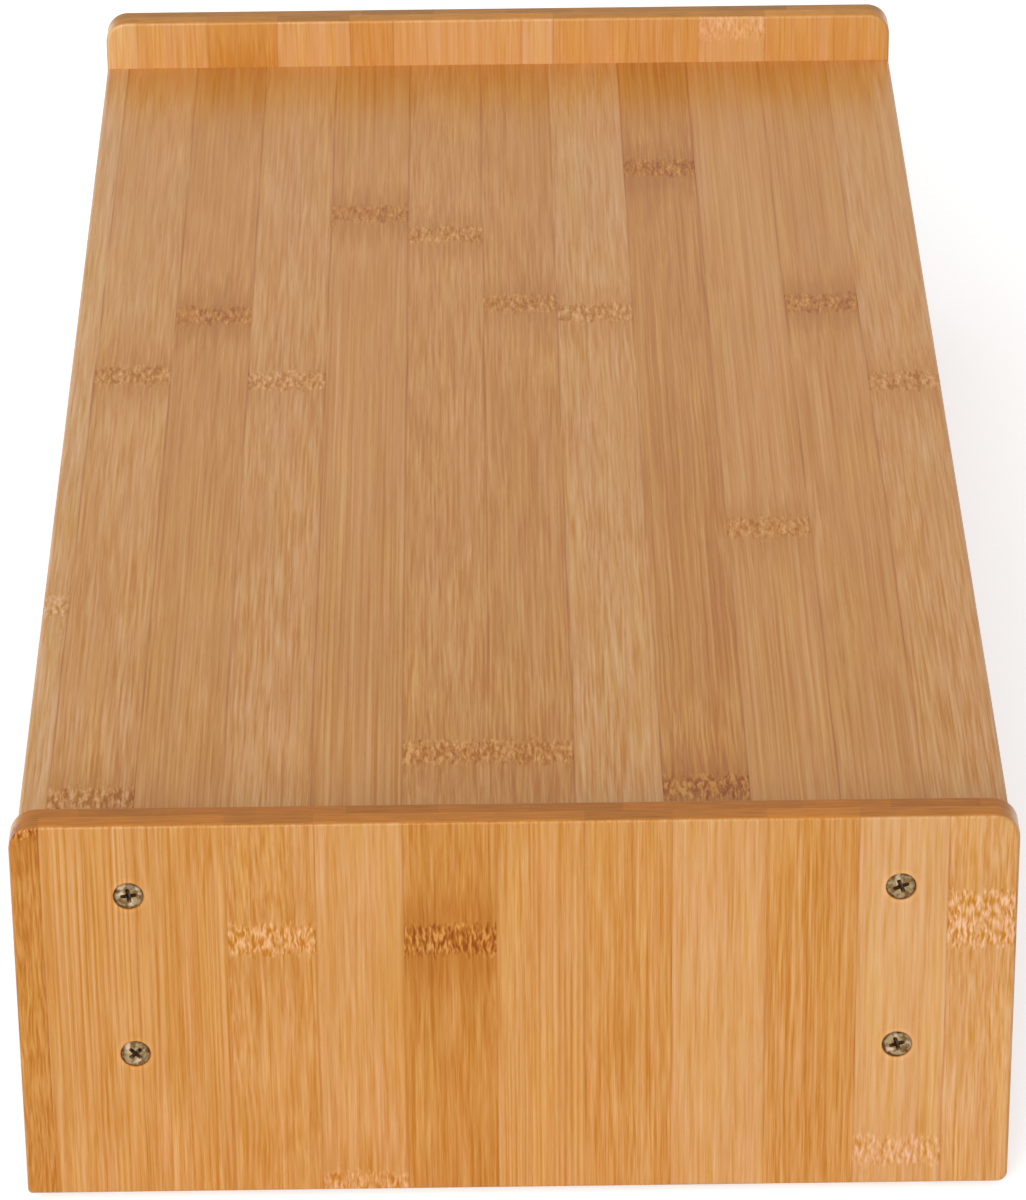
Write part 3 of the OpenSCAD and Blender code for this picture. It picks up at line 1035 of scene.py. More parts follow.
@dataclass(frozen=True)
class PadFinish:
    """Milky clear rubber.

    Attributes:
        name: Name of the material.
        colour: Its colour.
        cloudy: Its colour where it is thicker or dusty.
    """

    name: str
    colour: Colour = srgb(206, 204, 192)
    cloudy: Colour = srgb(180, 176, 160)

    def make(self) -> Material:
        """Builds the material.

        Returns:
            The material.
        """
        graph = ShaderGraph(self.name)
        grain, dust = graph.cloud(0.3, 2), graph.cloud(2, 2).rise(0.4, 0.75)
        return graph.finish({"IOR": 1.5, "Metallic": 0.0,
                             "Base Color": graph.mix(dust, self.colour, self.cloudy),
                             "Roughness": 0.42 + (grain - 0.5) * 0.15 + dust * 0.2}, grain, 0.03)


Finish = Union[BambooFinish, PlainWoodFinish, PlatedFinish, PadFinish]


def settled(piece: Piece) -> None:
    """Turns what a piece's modifiers give into its own plain mesh.

    Args:
        piece: The piece.
    """
    bpy.context.view_layer.update()
    depsgraph = bpy.context.evaluated_depsgraph_get()
    mesh = bpy.data.meshes.new_from_object(piece.evaluated_get(depsgraph), depsgraph=depsgraph)
    old = piece.data
    piece.modifiers.clear()
    piece.data = mesh
    mesh.name = piece.name
    bpy.data.meshes.remove(old)


def removed(piece: Piece) -> None:
    """Takes an object and its mesh away.

    Args:
        piece: The object.
    """
    mesh = piece.data
    bpy.data.objects.remove(piece)
    bpy.data.meshes.remove(mesh)


def carved(piece: Piece, cutter: Solid) -> Piece:
    """Cuts a solid out of a piece.

    Args:
        piece: The piece.
        cutter: What is cut out, which is used up.

    Returns:
        The piece.
    """
    tool = cutter.made(piece.name + "_cutter")
    modifier = piece.modifiers.new("cut", "BOOLEAN")
    modifier.operation = "DIFFERENCE"
    modifier.solver = "EXACT"
    modifier.use_self = True
    modifier.object = tool
    settled(piece)
    removed(tool)
    return piece


def smoothed(piece: Piece, crease: float = 32.0) -> Piece:
    """Shades a piece smooth between its creases, with its flat faces kept flat.

    Args:
        piece: The piece.
        crease: Least angle of a sharp edge, in degrees.

    Returns:
        The piece.
    """
    shape = bmesh.new()
    shape.from_mesh(piece.data)
    bmesh.ops.remove_doubles(shape, verts=shape.verts, dist=1e-6)
    for face in shape.faces:
        face.smooth = True
    for edge in shape.edges:
        edge.smooth = edge.calc_face_angle(0.0) < math.radians(crease)
    shape.to_mesh(piece.data)
    shape.free()
    modifier = piece.modifiers.new("flats", "WEIGHTED_NORMAL")
    modifier.keep_sharp = True
    settled(piece)
    return piece


def enrolled(piece: Piece, body: str, node: str) -> None:
    """Gives a piece its place in the frame: its body and its node.

    Args:
        piece: The piece.
        body: The body that carries it.
        node: The node that it stands for.
    """
    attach(piece, body)
    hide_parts(node)
    LOG.info("%s: %d faces, on %s", piece.name, len(piece.data.polygons), body)


def finished(solid: Solid, name: str, node: str, finish: Finish, cutter: Optional[Solid] = None,
             body: str = "riser") -> None:
    """Makes a board, cuts it, dresses it and puts it in the frame.

    Args:
        solid: Its shape.
        name: Its name.
        node: The node that it stands for.
        finish: Its finish.
        cutter: What is cut out of it, if anything.
        body: The body that carries it.
    """
    piece = solid.made(name)
    smoothed(carved(piece, cutter) if cutter else piece)
    piece.data.materials.clear()
    piece.data.materials.append(finish.make())
    enrolled(piece, body, node)


@dataclass(frozen=True)
class FastenerSet:
    """Equal fasteners, set out by Geometry Nodes.

    Attributes:
        name: Name of the piece.
        node: Node that it stands for.
        slot: The record's slot of its finish; not used.
        corners: The rectangle at whose corners they stand.
        level: Place of the rectangle along the fasteners.
        reach: Half the distance of two rectangles that face away from each other, or 0 for one.
        tilt: Turn of a fastener that points to -Z, about X, Y and Z, in degrees.
        spins: Turn of the fasteners about their own axes, in degrees, used in order.
        body: The body that carries it.
    """

    name: str
    node: str
    slot: str
    corners: Corners
    level: float
    reach: float = 0.0
    tilt: tuple[float, float, float] = (0.0, 0.0, 0.0)
    spins: tuple[float, float, float, float] = (8.0, 41.0, 67.0, 23.0)
    body: str = "riser"

    STEPS = ("Column", "Row", "Layer")
    SPINS = ("First Spin", "Second Spin", "Third Spin", "Fourth Spin")

    def _inputs(self, master: Piece) -> dict[str, tuple[str, object]]:
        """Gives the tree's named inputs, each with its kind and value.

        Args:
            master: One fastener.

        Returns:
            The inputs.
        """
        axes, (first, second) = self.corners.axes, self.corners.spread
        given = {"Fastener": ("Object", master),
                 "Centre": ("Vector", laid(axes, *self.corners.centre, self.level) * METRE),
                 "Tilt": ("Rotation", tuple(math.radians(angle) for angle in self.tilt))}
        steps = ((0, 0, self.reach), (first, 0, 0), (0, second, 0))
        for label, half, count in zip(self.STEPS, steps, (2 if self.reach else 1, 2, 2)):
            given[f"{label} Step"] = ("Vector", laid(axes, *half) * 2 * METRE)
            given[f"{label}s"] = ("Int", count)
        for label, spin in zip(self.SPINS, self.spins):
            given[label] = ("Float", math.radians(spin))
        return given

    def _tree(self, inputs: dict[str, tuple[str, object]], material: Material) -> bpy.types.NodeTree:
        """Builds the tree that repeats one fastener.

        Args:
            inputs: Its named inputs.
            material: The material that it sets.

        Returns:
            The tree.
        """
        tree = bpy.data.node_groups.new(self.name + "_rows", "GeometryNodeTree")
        tree.interface.new_socket("Geometry", in_out="OUTPUT", socket_type="NodeSocketGeometry")
        for label, (kind, _) in {"Geometry": ("Geometry", None), **inputs}.items():
            tree.interface.new_socket(label, in_out="INPUT", socket_type="NodeSocket" + kind)
        graph = Graph(tree)
        given = graph.node("NodeGroupInput").outputs
        index = Value(graph, graph.node("GeometryNodeInputIndex").outputs[0])
        place, total, numbers = given["Centre"], 1, []
        for label in self.STEPS:
            count = Value(graph, given[f"{label}s"])
            numbers.append((index / total).floor() % count)
            step = graph.vector("SCALE", given[f"{label} Step"], numbers[-1] - (count - 1) * 0.5)
            place, total = graph.vector("ADD", place, step), count * total
        points = graph.node("GeometryNodePoints", {}, {"Count": total, "Position": place})
        master = graph.node("GeometryNodeObjectInfo", {"transform_space": "ORIGINAL"},
                            {"Object": given["Fastener"], "As Instance": True})
        copies = graph.node("GeometryNodeInstanceOnPoints", {},
                            {"Points": points.outputs[0], "Instance": master.outputs["Geometry"],
                             "Rotation": given["Tilt"]})
        chosen = index % len(self.SPINS)
        spin = sum((graph.math("COMPARE", chosen, number, 0.5) * Value(graph, given[label])
                    for number, label in enumerate(self.SPINS)), 0)
        for turn in ((numbers[0] * math.pi, 0.0, 0.0), (0.0, 0.0, spin)):
            copies = graph.node("GeometryNodeRotateInstances", {},
                                {"Instances": copies.outputs[0], "Local Space": True,
                                 "Rotation": graph.joined(turn)})
        real = graph.node("GeometryNodeRealizeInstances", {}, {0: copies.outputs[0]})
        painted = graph.node("GeometryNodeSetMaterial", {},
                             {"Geometry": real.outputs[0], "Material": material})
        graph.node("NodeGroupOutput", {}, {0: painted.outputs[0]})
        return tree

    def build(self, master: Piece, finish: Finish) -> None:
        """Sets out the fasteners and dresses them.

        Args:
            master: One fastener, which is removed afterwards.
            finish: Their finish.
        """
        piece = Solid().made(self.name)
        modifier = piece.modifiers.new("rows", "NODES")
        inputs = self._inputs(master)
        modifier.node_group = self._tree(inputs, finish.make())
        for item in modifier.node_group.interface.items_tree:
            if item.in_out == "INPUT" and item.name in inputs:
                modifier[item.identifier] = inputs[item.name][1]
        settled(piece)
        removed(master)
        enrolled(piece, self.body, self.node)


@dataclass(frozen=True)
class ScrewKind:
    """Sizes of one kind of countersunk cross-recess wood screw.

    Attributes:
        tip: Length of its tapered tip.
        rim: Thickness of its head's rim.
        sink: How far its head lies below the wood's face.
        core: Radius of its core against the thread's.
        fillet: Radius of its head's upper edge.
        segments: Number of points round it.
        turn_steps: Number of rings in one turn of the thread.
    """

    thread: float
    head: float
    length: float
    pitch: float = 1.8
    tip: float = 5.0
    rim: float = 0.3
    sink: float = 0.2
    core_share: float = 0.7
    fillet: float = 0.16
    segments: int = 32
    turn_steps: int = 8

    @property
    def core(self) -> float:
        """Radius of the core."""
        return self.thread / 2 * self.core_share

    @property
    def start(self) -> float:
        """Depth at which the cone of the head meets the core."""
        return self.rim + self.head / 2 - self.core

    def hole(self) -> Solid:
        """Makes the cutter for the screw's hole, from the wood's face towards -Z.

        Returns:
            The cutter.
        """
        bore, mouth = self.thread / 2 + CLEARANCE, self.head / 2 + CLEARANCE
        seat, depth = self.sink + self.rim, self.sink + self.length + BLIND
        return Solid().lathe([(0, 1.0), (mouth + 0.12, 1.0), (mouth + 0.12, 0.0), (mouth, -0.12),
                              (mouth, -seat), (bore, -seat - mouth + bore), (bore, -depth),
                              (0, -depth)], 48)

    def shank(self) -> Solid:
        """Makes the screw without its recess, its head's face at the origin.

        Returns:
            The screw.
        """
        head, step, fillet = self.head / 2, self.pitch / self.turn_steps, self.fillet
        brim = head - 0.04
        profile: list[Point] = [(0, 0.0), (head * 0.6, 0.0), (head * 0.86, -0.02)]
        profile += [(brim - fillet * (1 - math.sin(a)), -0.03 - fillet * (1 - math.cos(a)))
                    for a in quarter(4)]
        profile += [(brim, -self.rim), (self.core + 0.5, 0.5 - self.start),
                    (self.core + 0.1, -self.start)]
        level = self.start + step
        while level < self.length - 0.4:
            profile.append((self.core * min(1.0, (self.length - level) / self.tip), -level))
            level += step
        return Solid().lathe([*profile, (0, -self.length)], self.segments, self._thread_radius)

    def _thread_radius(self, radius: float, z: float, angle: float) -> float:
        """Adds the thread's ridge, which climbs one pitch in each turn.

        Args:
            radius: Radius of the plain screw.
            z: Height, 0 at the head's face.
            angle: The angle.

        Returns:
            The radius with the thread.
        """
        if -z <= self.start:
            return radius
        phase = (-z / self.pitch + angle / math.tau) % 1.0
        ridge = max(0.0, 1.0 - abs(phase - 0.5) / 0.24)
        grown = min(1.0, (-z - self.start) / self.pitch, (self.length + z) / (0.35 * self.tip))
        return radius + (self.thread / 2 - self.core) * ridge * max(0.0, grown)

    def recess(self) -> Solid:
        """Makes the cutter for the tapered cross recess with rounded corners.

        Returns:
            The cutter.
        """
        head, rings = self.head, []
        for level, reach, width in ((0.3, 1.06, 1.3), (0.0, 1.0, 1.08), (-0.12, 0.97, 1.0),
                                    (-head * 0.15, 0.66, 0.9), (-head * 0.25, 0.36, 0.75)):
            half = head * 0.065 * width
            middle, root = head * 0.28 * reach - half * 0.6, half * 1.35
            tip = [(middle + half * 0.6 * math.cos(a), half * math.sin(a))
                   for a in map(math.radians, (-90, -50, -18, 18, 50, 90))]
            wing = [(root, -half * 1.02), *tip, (root, half * 1.02)]
            rings.append([Matrix.Rotation(turn * math.pi / 2, 3, "Z") @ Vector((x, y, level))
                          for turn in range(4) for x, y in wing])
        return Solid().stack([*rings, [Vector((0, 0, -head * 0.29))]])

    def made(self) -> Piece:
        """Makes the finished screw as one object, to be set out in rows."""
        return smoothed(carved(self.shank().made("screw_master"), self.recess()), 38.0)


@dataclass(frozen=True)
class Fixings:
    """The riser's screws and dowels, and where they go."""

    panel_screw: ScrewKind = ScrewKind(4.0, 8.0, 35.0)
    divider_screw: ScrewKind = ScrewKind(3.5, 7.0, 25.0)
    panel_inset: float = 31.5
    divider_inset: float = 65.0
    dowel_inset: float = 35.0
    panels: Corners = Corners(
        "yzx", *zip((0, SIZES.edge - panel_inset),
                    halved(SIZES.floor - SIZES.board / 2, SIZES.top - SIZES.board / 2)),
        panel_screw.head / 2)
    dividers: Corners = Corners("xyz", (0, 0), (SIZES.divider_x, SIZES.edge - divider_inset),
                                divider_screw.head / 2)
    dowels: Corners = Corners("xyz", (0, 0), (SIZES.divider_x, SIZES.edge - dowel_inset))
    dowel_radius: float = 3.0
    dowel_length: float = 18.0
    dowel_rise: float = 6.0

    def panel_holes(self, end: int) -> Solid:
        """Makes the cutter for the four screws of an end panel."""
        return self.panels.holes(self.panel_screw.hole, end * SIZES.length / 2, end * math.pi / 2, "Y")

    def divider_holes(self) -> Solid:
        """Makes the cutter for the screws under the dividers."""
        return self.dividers.holes(self.divider_screw.hole, SIZES.keyboard, math.pi)

    def dowel_holes(self) -> Solid:
        """Makes the cutter for the dowels.

        Returns:
            The cutter.
        """
        r, high = self.dowel_radius + CLEARANCE, self.dowel_rise + BLIND
        low = self.dowel_rise - self.dowel_length - BLIND
        profile = [(0, high), (r, high), (r, low), (0, low)]
        return self.dowels.holes(lambda: Solid().lathe(profile, 40), SIZES.ceiling)


FIXINGS = Fixings()


def back_groove(x: float) -> Solid:
    """Makes the cutter for a back board's grooves on both sides of the plane x."""
    reach, y = SIZES.back_groove, SIZES.back_y - SIZES.slack
    return Solid().box((x - reach, y, SIZES.floor),
                       (x + reach, y + SIZES.back + 2 * SIZES.slack, SIZES.ceiling))


NEAR_PANEL = Ply(
    (-126.8, -101.7, -77.3, -53.6, -30.0, -5.1, 18.7, 42.2, 67.4, 92.1, 116.2),
    (Strip(-0.85, (121.0,), 0.9, 0.4, 1.3, 1.0), Strip(0.1, crisp=1.15, dash=0.2),
     Strip(-0.15, crisp=1.3, dash=0.3), Strip(-0.1, (83.6,), -0.6, 0.1, 1.1, 0.65),
     Strip(0.25, (3.0,), 0.2, 0.0, 0.8, 0.35), Strip(-0.75, (82.9,), 1.0, 0.1, 1.05, 0.55),
     Strip(0.1, crisp=1.1, dash=0.2), Strip(-0.1, crisp=1.15, dash=0.4),
     Strip(0.75, crisp=0.65, dash=0.5), Strip(-0.2, crisp=1.1, dash=0.4),
     Strip(1.2, (12.7,), 0.15, 0.0, 0.6, 0.35), Strip(0.75, (91.5, 83.5), -0.4, 0.1, 1.0, 0.6)))
FAR_PANEL = Ply(
    (-124.0, -100.0, -76.0, -51.0, -36.0, 8.0, 19.0, 45.0, 69.0, 92.0, 116.0),
    (Strip(1.9, crisp=0.5), Strip(0.7, crisp=0.5), Strip(0.0, (98.0,), 0.5, crisp=0.5),
     Strip(1.1, crisp=0.45), Strip(0.05, crisp=0.5), Strip(1.0, crisp=0.45),
     Strip(1.8, crisp=0.45), Strip(0.6, crisp=0.5), Strip(0.4, crisp=0.5),
     Strip(1.4, (116.0,), -0.3, crisp=0.35), Strip(0.45, crisp=0.45), Strip(0.3, crisp=0.45)))
TOP_SHELF = Ply(
    (-127.5, -103.6, -79.8, -55.6, -30.4, -6.3, 17.0, 41.0, 64.8, 89.5, 112.7),
    (Strip(1.2, (119.0,), 0.3, 0.0, 0.85, 0.45), Strip(0.25, (-27.0, 228.0), 0.6, 0.0, 0.85, 0.35),
     Strip(-0.28, (-68.0,), 0.85, 0.0, 0.85, 0.2), Strip(0.2, (-22.0,), 0.3, 0.0, 0.95, 0.35),
     Strip(-0.2, (-141.0,), 0.8, 0.0, 0.85, 0.1), Strip(-0.2, (-125.0, 205.0), 0.45, 0.0, 1.0, 0.4),
     Strip(-0.4, (-74.0, 205.0), 0.45, 0.0, 0.95, 0.3), Strip(0.45, (-67.0,), 0.5, 0.1, 0.95, 0.35),
     Strip(-0.7, (-174.0, 225.0), 0.9, 0.1, 1.15, 0.15), Strip(0.0, (77.0,), 0.5, 0.0, 0.75, 0.1),
     Strip(-0.25, (-72.0,), 0.85, 0.0, 0.8, 0.15), Strip(0.3, (-17.0,), 0.6, 0.0, 0.85, 0.4)))


@dataclass(frozen=True)
class EndPanel:
    """An end panel with its countersunk screws.

    Attributes:
        end: LEFT or RIGHT.
        outside: The strips of its outer face.
        pale: Colour of its light fibres.
        deep: Colour of its dark fibres.
        tints: Tints of the strips' sanded ends; the left panel's are partly painted light, its inner ply
            lighter and its outer ply greyer.
        spins: Turn of its screws, in degrees.
        top_radius: Radius of its upper corners.
        feet: Radii of its front lower corner, which is nearly square, and its rear one.
        pitch: Usual width of the strips of its inner face.
    """

    end: int
    outside: Ply
    pale: Colour
    deep: Colour
    tints: tuple[Colour, Colour]
    spins: tuple[float, float, float, float]
    top_radius: float = 7.5
    feet: Point = (1.3, 3.0)
    pitch: float = 24.3

    def build(self) -> None:
        """Makes the board and its four screws."""
        side, inner = SIDE_NAMES[self.end], self.end * SIZES.shelf_end
        outer = self.end * SIZES.length / 2
        run, span = (SIZES.pad, SIZES.height), (-SIZES.edge, SIZES.edge)
        outline = rounded_outline(span, run, self.feet, self.top_radius)
        finish = BambooFinish(
            f"bamboo_panel_{side}", Lay.END_PANEL, self.outside,
            Ply.drawn(41 + self.end, span, run, self.pitch), (inner + outer) / 2, run, span, self.pale,
            self.deep, self.tints, FIXINGS.panels, seed=5 + self.end)
        finished(eased_slab(outline, sorted((inner, outer)), SIZES.ease, "yzx"), f"end_panel_{side}",
                 f"{side}_end_panel", finish, FIXINGS.panel_holes(self.end).join(back_groove(inner)))
        kind = FIXINGS.panel_screw
        face = SIZES.length / 2 - kind.sink
        FastenerSet(f"panel_screws_{side}", f"{side}_panel_screws", "yellow_zinc", FIXINGS.panels,
                    self.end * face, tilt=(0, self.end * 90, 0), spins=self.spins).build(
            kind.made(), PlatedFinish(f"yellow_zinc_{side}", Plating.YELLOW_ZINC, FIXINGS.panels, face))


@dataclass(frozen=True)
class Shelves:
    """The top shelf and the lower shelf.

    Attributes:
        knuckle: Height of their knuckles against the usual one.
        glue: Darkness of their seams against the usual one.
        fade: Loss of the top shelf's contrast towards its left end.
    """

    knuckle: float = 1.35
    glue: float = 1.5
    fade: float = 0.6

    def build(self) -> None:
        """Makes both boards."""
        run, span = (-SIZES.shelf_end, SIZES.shelf_end), (-SIZES.edge, SIZES.edge)
        hidden = Ply.drawn(71, span, run)
        for name, low, upper, bores, fade in (
                ("top_shelf", SIZES.ceiling, TOP_SHELF, None, self.fade),
                ("lower_shelf", SIZES.keyboard, hidden, FIXINGS.dividers, 0.0)):
            cutter = FIXINGS.panel_holes(LEFT).join(FIXINGS.panel_holes(RIGHT))
            cutter.join(FIXINGS.divider_holes() if bores else FIXINGS.dowel_holes())
            finish = BambooFinish(
                f"bamboo_{name}", Lay.SHELF, upper, Ply.drawn(72 + len(name), span, run),
                low + SIZES.board / 2, run, span, bores=bores, knuckle=self.knuckle,
                glue=self.glue, fade=fade, seed=len(name))
            finished(eased_bar(span, (low, low + SIZES.board), run, "yzx"), f"{name}_board", name,
                     finish, cutter)


@dataclass(frozen=True)
class Dividers:
    """The two dividers with their screws and dowels, and the bays' back boards."""

    flutes: int = 16
    flute_depth: float = 0.18
    chamfer: float = 0.8
    back_corner: float = 0.6
    back_ease: float = 0.25

    def build(self) -> None:
        """Makes the dividers, backs, screws and dowels."""
        for end in ENDS:
            self._divider(end)
            self._back(end)
        kind, corners = FIXINGS.divider_screw, FIXINGS.dividers
        face = SIZES.keyboard + kind.sink
        FastenerSet("divider_screws_set", "divider_screws", "yellow_zinc", corners, face,
                    tilt=(180, 0, 0)).build(
            kind.made(), PlatedFinish("yellow_zinc_under", Plating.YELLOW_ZINC, corners, face))
        FastenerSet("dowels_set", "divider_dowels", "beech", FIXINGS.dowels, SIZES.ceiling).build(
            self._dowel(), PlainWoodFinish("beech_dowels", Lay.END_PANEL, srgb(226, 192, 150),
                                           srgb(196, 150, 102), 3.0, 0.65))

    def _divider(self, end: int) -> None:
        """Makes one divider.

        Args:
            end: LEFT or RIGHT.
        """
        side, middle, half = SIDE_NAMES[end], end * SIZES.divider_x, SIZES.board / 2
        run, span = (-SIZES.edge, SIZES.edge), (SIZES.floor, SIZES.ceiling)
        cutter = FIXINGS.divider_holes().join(FIXINGS.dowel_holes())
        finish = BambooFinish(f"bamboo_divider_{side}", Lay.WALL, Ply.drawn(81 + end, span, run),
                              Ply.drawn(85 + end, span, run), middle, run, span, seed=12 + end)
        finished(eased_bar((middle - half, middle + half), run, span, "xyz"), f"divider_{side}",
                 f"{side}_divider", finish, cutter.join(back_groove(middle + end * half)))

    def _back(self, end: int) -> None:
        """Makes the board that closes a drawer's bay at the rear.

        Args:
            end: LEFT or RIGHT.
        """
        side, middle, corner = SIDE_NAMES[end], end * SIZES.drawer_x, self.back_corner
        half = SIZES.bay / 2 + SIZES.back_groove - SIZES.slack
        run, span = (middle - half, middle + half), (SIZES.floor, SIZES.ceiling - SIZES.slack)
        faces = (SIZES.back_y, SIZES.back_y + SIZES.back)
        outline = rounded_outline(run, span, (corner, corner), corner)
        finish = side_finish(f"bamboo_back_{side}", Lay.CROSS_WALL, sum(faces) / 2, run, span, 91 + end)
        finished(eased_slab(outline, faces, self.back_ease, "xzy"), f"bay_back_{side}",
                 f"{side}_bay_back", finish)

    def _dowel(self) -> Piece:
        """Makes one fluted dowel with chamfered ends.

        Returns:
            The dowel.
        """
        r, high = FIXINGS.dowel_radius, FIXINGS.dowel_rise
        low, tip = high - FIXINGS.dowel_length, r - self.chamfer / 2
        profile = [(0, low), (tip, low), (r, low + self.chamfer), (r, high - self.chamfer),
                   (tip, high), (0, high)]
        return smoothed(Solid().lathe(profile, 4 * self.flutes, lambda reach, z, angle: (
            reach - self.flute_depth * max(0.0, math.cos(self.flutes * angle)))).made("dowel_master"))


@dataclass(frozen=True)
class FootPads:
    """Four thin rubber pads under the end panels, out of sight behind their eased edges."""

    radius: float = 3.0
    foot: float = 2.7
    inset: float = 25.0
    fillet: float = 0.4

    def build(self) -> None:
        """Makes the pads."""
        top, foot, fillet = self.radius, self.foot, self.fillet
        profile: list[Point] = [(0, 0.06), (foot * 0.55, 0.06), (foot * 0.62, 0.0)]
        profile += [(foot - fillet + fillet * math.sin(a), fillet * (1 - math.cos(a)))
                    for a in quarter(4)]
        profile += [(top - 0.04, SIZES.pad - 0.1), (top - 0.1, SIZES.pad), (0, SIZES.pad)]
        corners = Corners("xyz", (0, 0), (SIZES.shelf_end + SIZES.ease + top, SIZES.edge - self.inset))
        FastenerSet("foot_pads_set", "foot_pads", "pad_rubber", corners, 0.0).build(
            smoothed(Solid().lathe(profile, 40).made("pad_master")), PadFinish("milky_rubber"))


@dataclass(frozen=True)
class Drawer:
    """One drawer: front, two sides, rear, bottom and brads.

    Attributes:
        end: LEFT or RIGHT.
        drop: How far the walls lie below the front's upper edge.
        rise: Height of the bottom above the drawer's foot.
        stop_gap: Room between the drawer and the back board.
        brad_shares: Places of the brads between the bottom and the walls' upper edges.
        half: Half of its width.
        front_y: Place of the front's outer face.
        inner_y: Place of the front's inner face.
        rear_y: Place of the rear wall's outer face.
        front_top: Height of the front's upper edge.
        wall_top: Height of the walls' upper edges.
    """

    end: int
    front: float = 10.0
    corner: float = 2.0
    wall: float = 6.0
    foot_ease: float = 0.3
    drop: float = 4.0
    bottom: float = 3.0
    bottom_corner: float = 0.6
    bottom_ease: float = 0.2
    rise: float = 4.0
    groove: float = 3.0
    rabbet: float = 5.0
    notch: float = 14.0
    notch_ease: float = 2.0
    side_gap: float = 1.0
    top_gap: float = 1.5
    setback: float = 1.0
    stop_gap: float = 0.5
    brad: float = 1.4
    brad_head: float = 2.4
    brad_head_thickness: float = 0.5
    brad_length: float = 16.0
    brad_shares: Point = (0.2, 0.8)
    half: float = SIZES.bay / 2 - side_gap
    front_y: float = -SIZES.edge + setback
    inner_y: float = front_y + front
    rear_y: float = SIZES.back_y - stop_gap
    front_top: float = SIZES.ceiling - top_gap
    wall_top: float = front_top - drop

    @property
    def side(self) -> str:
        """Name of its side."""
        return SIDE_NAMES[self.end]

    @property
    def x(self) -> float:
        """Middle of its width."""
        return self.end * SIZES.drawer_x

    @property
    def brads(self) -> Corners:
        """The brads of one side, which go into the front's rabbet and the rear wall.

        Returns:
            Their corners.
        """
        base = SIZES.floor + self.rise + self.bottom
        heights = [base + share * (self.wall_top - base) for share in self.brad_shares]
        places = halved(self.inner_y - self.rabbet / 2, self.rear_y - self.wall / 2)
        return Corners("yzx", *zip(places, halved(*heights)), self.brad_head / 2)

    def build(self) -> None:
        """Makes all the drawer's pieces."""
        self._front()
        for side in ENDS:
            self._side(side)
        self._rear()
        self._bottom()
        self._brads()

    def _add(self, part: str, solid: Solid, finish: Finish, cutter: Optional[Solid] = None) -> None:
        """Makes one of the drawer's boards."""
        finished(solid, f"drawer_{self.side}_{part}", f"{self.side}_drawer_{part}", finish, cutter,
                 f"{self.side}_drawer")

    def _cutter(self) -> Solid:
        """Makes the cutter for the bottom's groove and the brads in both sides.

        Returns:
            The cutter.
        """
        half, low = self.half - self.wall + self.groove, SIZES.floor + self.rise
        cutter = Solid().box((self.x - half, self.inner_y - self.groove, low),
                             (self.x + half, self.rear_y - self.wall + self.groove,
                              low + self.bottom + SIZES.slack))
        bore, mouth = self.brad / 2 + CLEARANCE, self.brad_head / 2 + CLEARANCE
        seat, depth = self.brad_head_thickness + CLEARANCE, self.brad_length + BLIND
        profile = [(0, 1), (mouth, 1), (mouth, -seat), (bore, -seat), (bore, -depth), (0, -depth)]
        for side in ENDS:
            cutter.join(self.brads.holes(lambda: Solid().lathe(profile, 24),
                                         self.x + side * self.half, side * math.pi / 2, "Y"))
        return cutter

    def _front(self) -> None:
        """Makes the front with its half-round finger notch."""
        run, span = (self.x - self.half, self.x + self.half), (SIZES.floor, self.front_top)
        corners = rounded_outline(run, span, (self.corner, self.corner), self.corner)
        ease = self.notch_ease
        reach = math.sqrt((self.notch + ease) ** 2 - ease ** 2)
        tilt = math.degrees(math.atan2(ease, reach))
        notch = [Arc((self.x + reach, self.front_top - ease), ease, 90, 180 - tilt),
                 Arc((self.x, self.front_top), self.notch, -tilt, tilt - 180, True),
                 Arc((self.x - reach, self.front_top - ease), ease, tilt, 90)]
        solid = eased_slab([*corners[:3], *notch, corners[3]], (self.front_y, self.inner_y),
                           SIZES.ease, "xzy")
        cutter = self._cutter()
        for edge in run:
            cutter.join(Solid().box(
                (edge - self.wall, self.inner_y - self.rabbet, SIZES.floor - 1),
                (edge + self.wall, self.inner_y + 1, SIZES.ceiling + 1)))
        finish = BambooFinish(
            f"bamboo_front_{self.side}", Lay.CROSS_WALL, Ply.drawn(101 + self.end, span, run),
            Ply.drawn(105 + self.end, span, run), self.front_y + self.front / 2, run, span,
            seed=20 + self.end)
        self._add("front", solid, finish, cutter)

    def _side(self, side: int) -> None:
        """Makes one side wall.

        Args:
            side: LEFT or RIGHT of the drawer's middle.
        """
        word = "outer" if side == self.end else "inner"
        outer = self.x + side * self.half
        faces = sorted((outer, outer - side * self.wall))
        run, span = (self.inner_y - self.rabbet, self.rear_y), (SIZES.floor, self.wall_top)
        finish = side_finish(f"bamboo_{self.side}_{word}_side", Lay.WALL, sum(faces) / 2, run, span,
                             111 + 4 * self.end + side, self.brads)
        self._add(f"{word}_side", eased_bar(faces, span, run, "xzy", self.foot_ease), finish,
                  self._cutter())

    def _rear(self) -> None:
        """Makes the rear wall."""
        half, faces = self.half - self.wall, (self.rear_y - self.wall, self.rear_y)
        run, span = (self.x - half, self.x + half), (SIZES.floor, self.wall_top)
        finish = side_finish(f"bamboo_{self.side}_rear", Lay.CROSS_WALL, sum(faces) / 2, run, span,
                             131 + self.end)
        self._add("rear", eased_bar(faces, span, run, "yzx", self.foot_ease), finish, self._cutter())

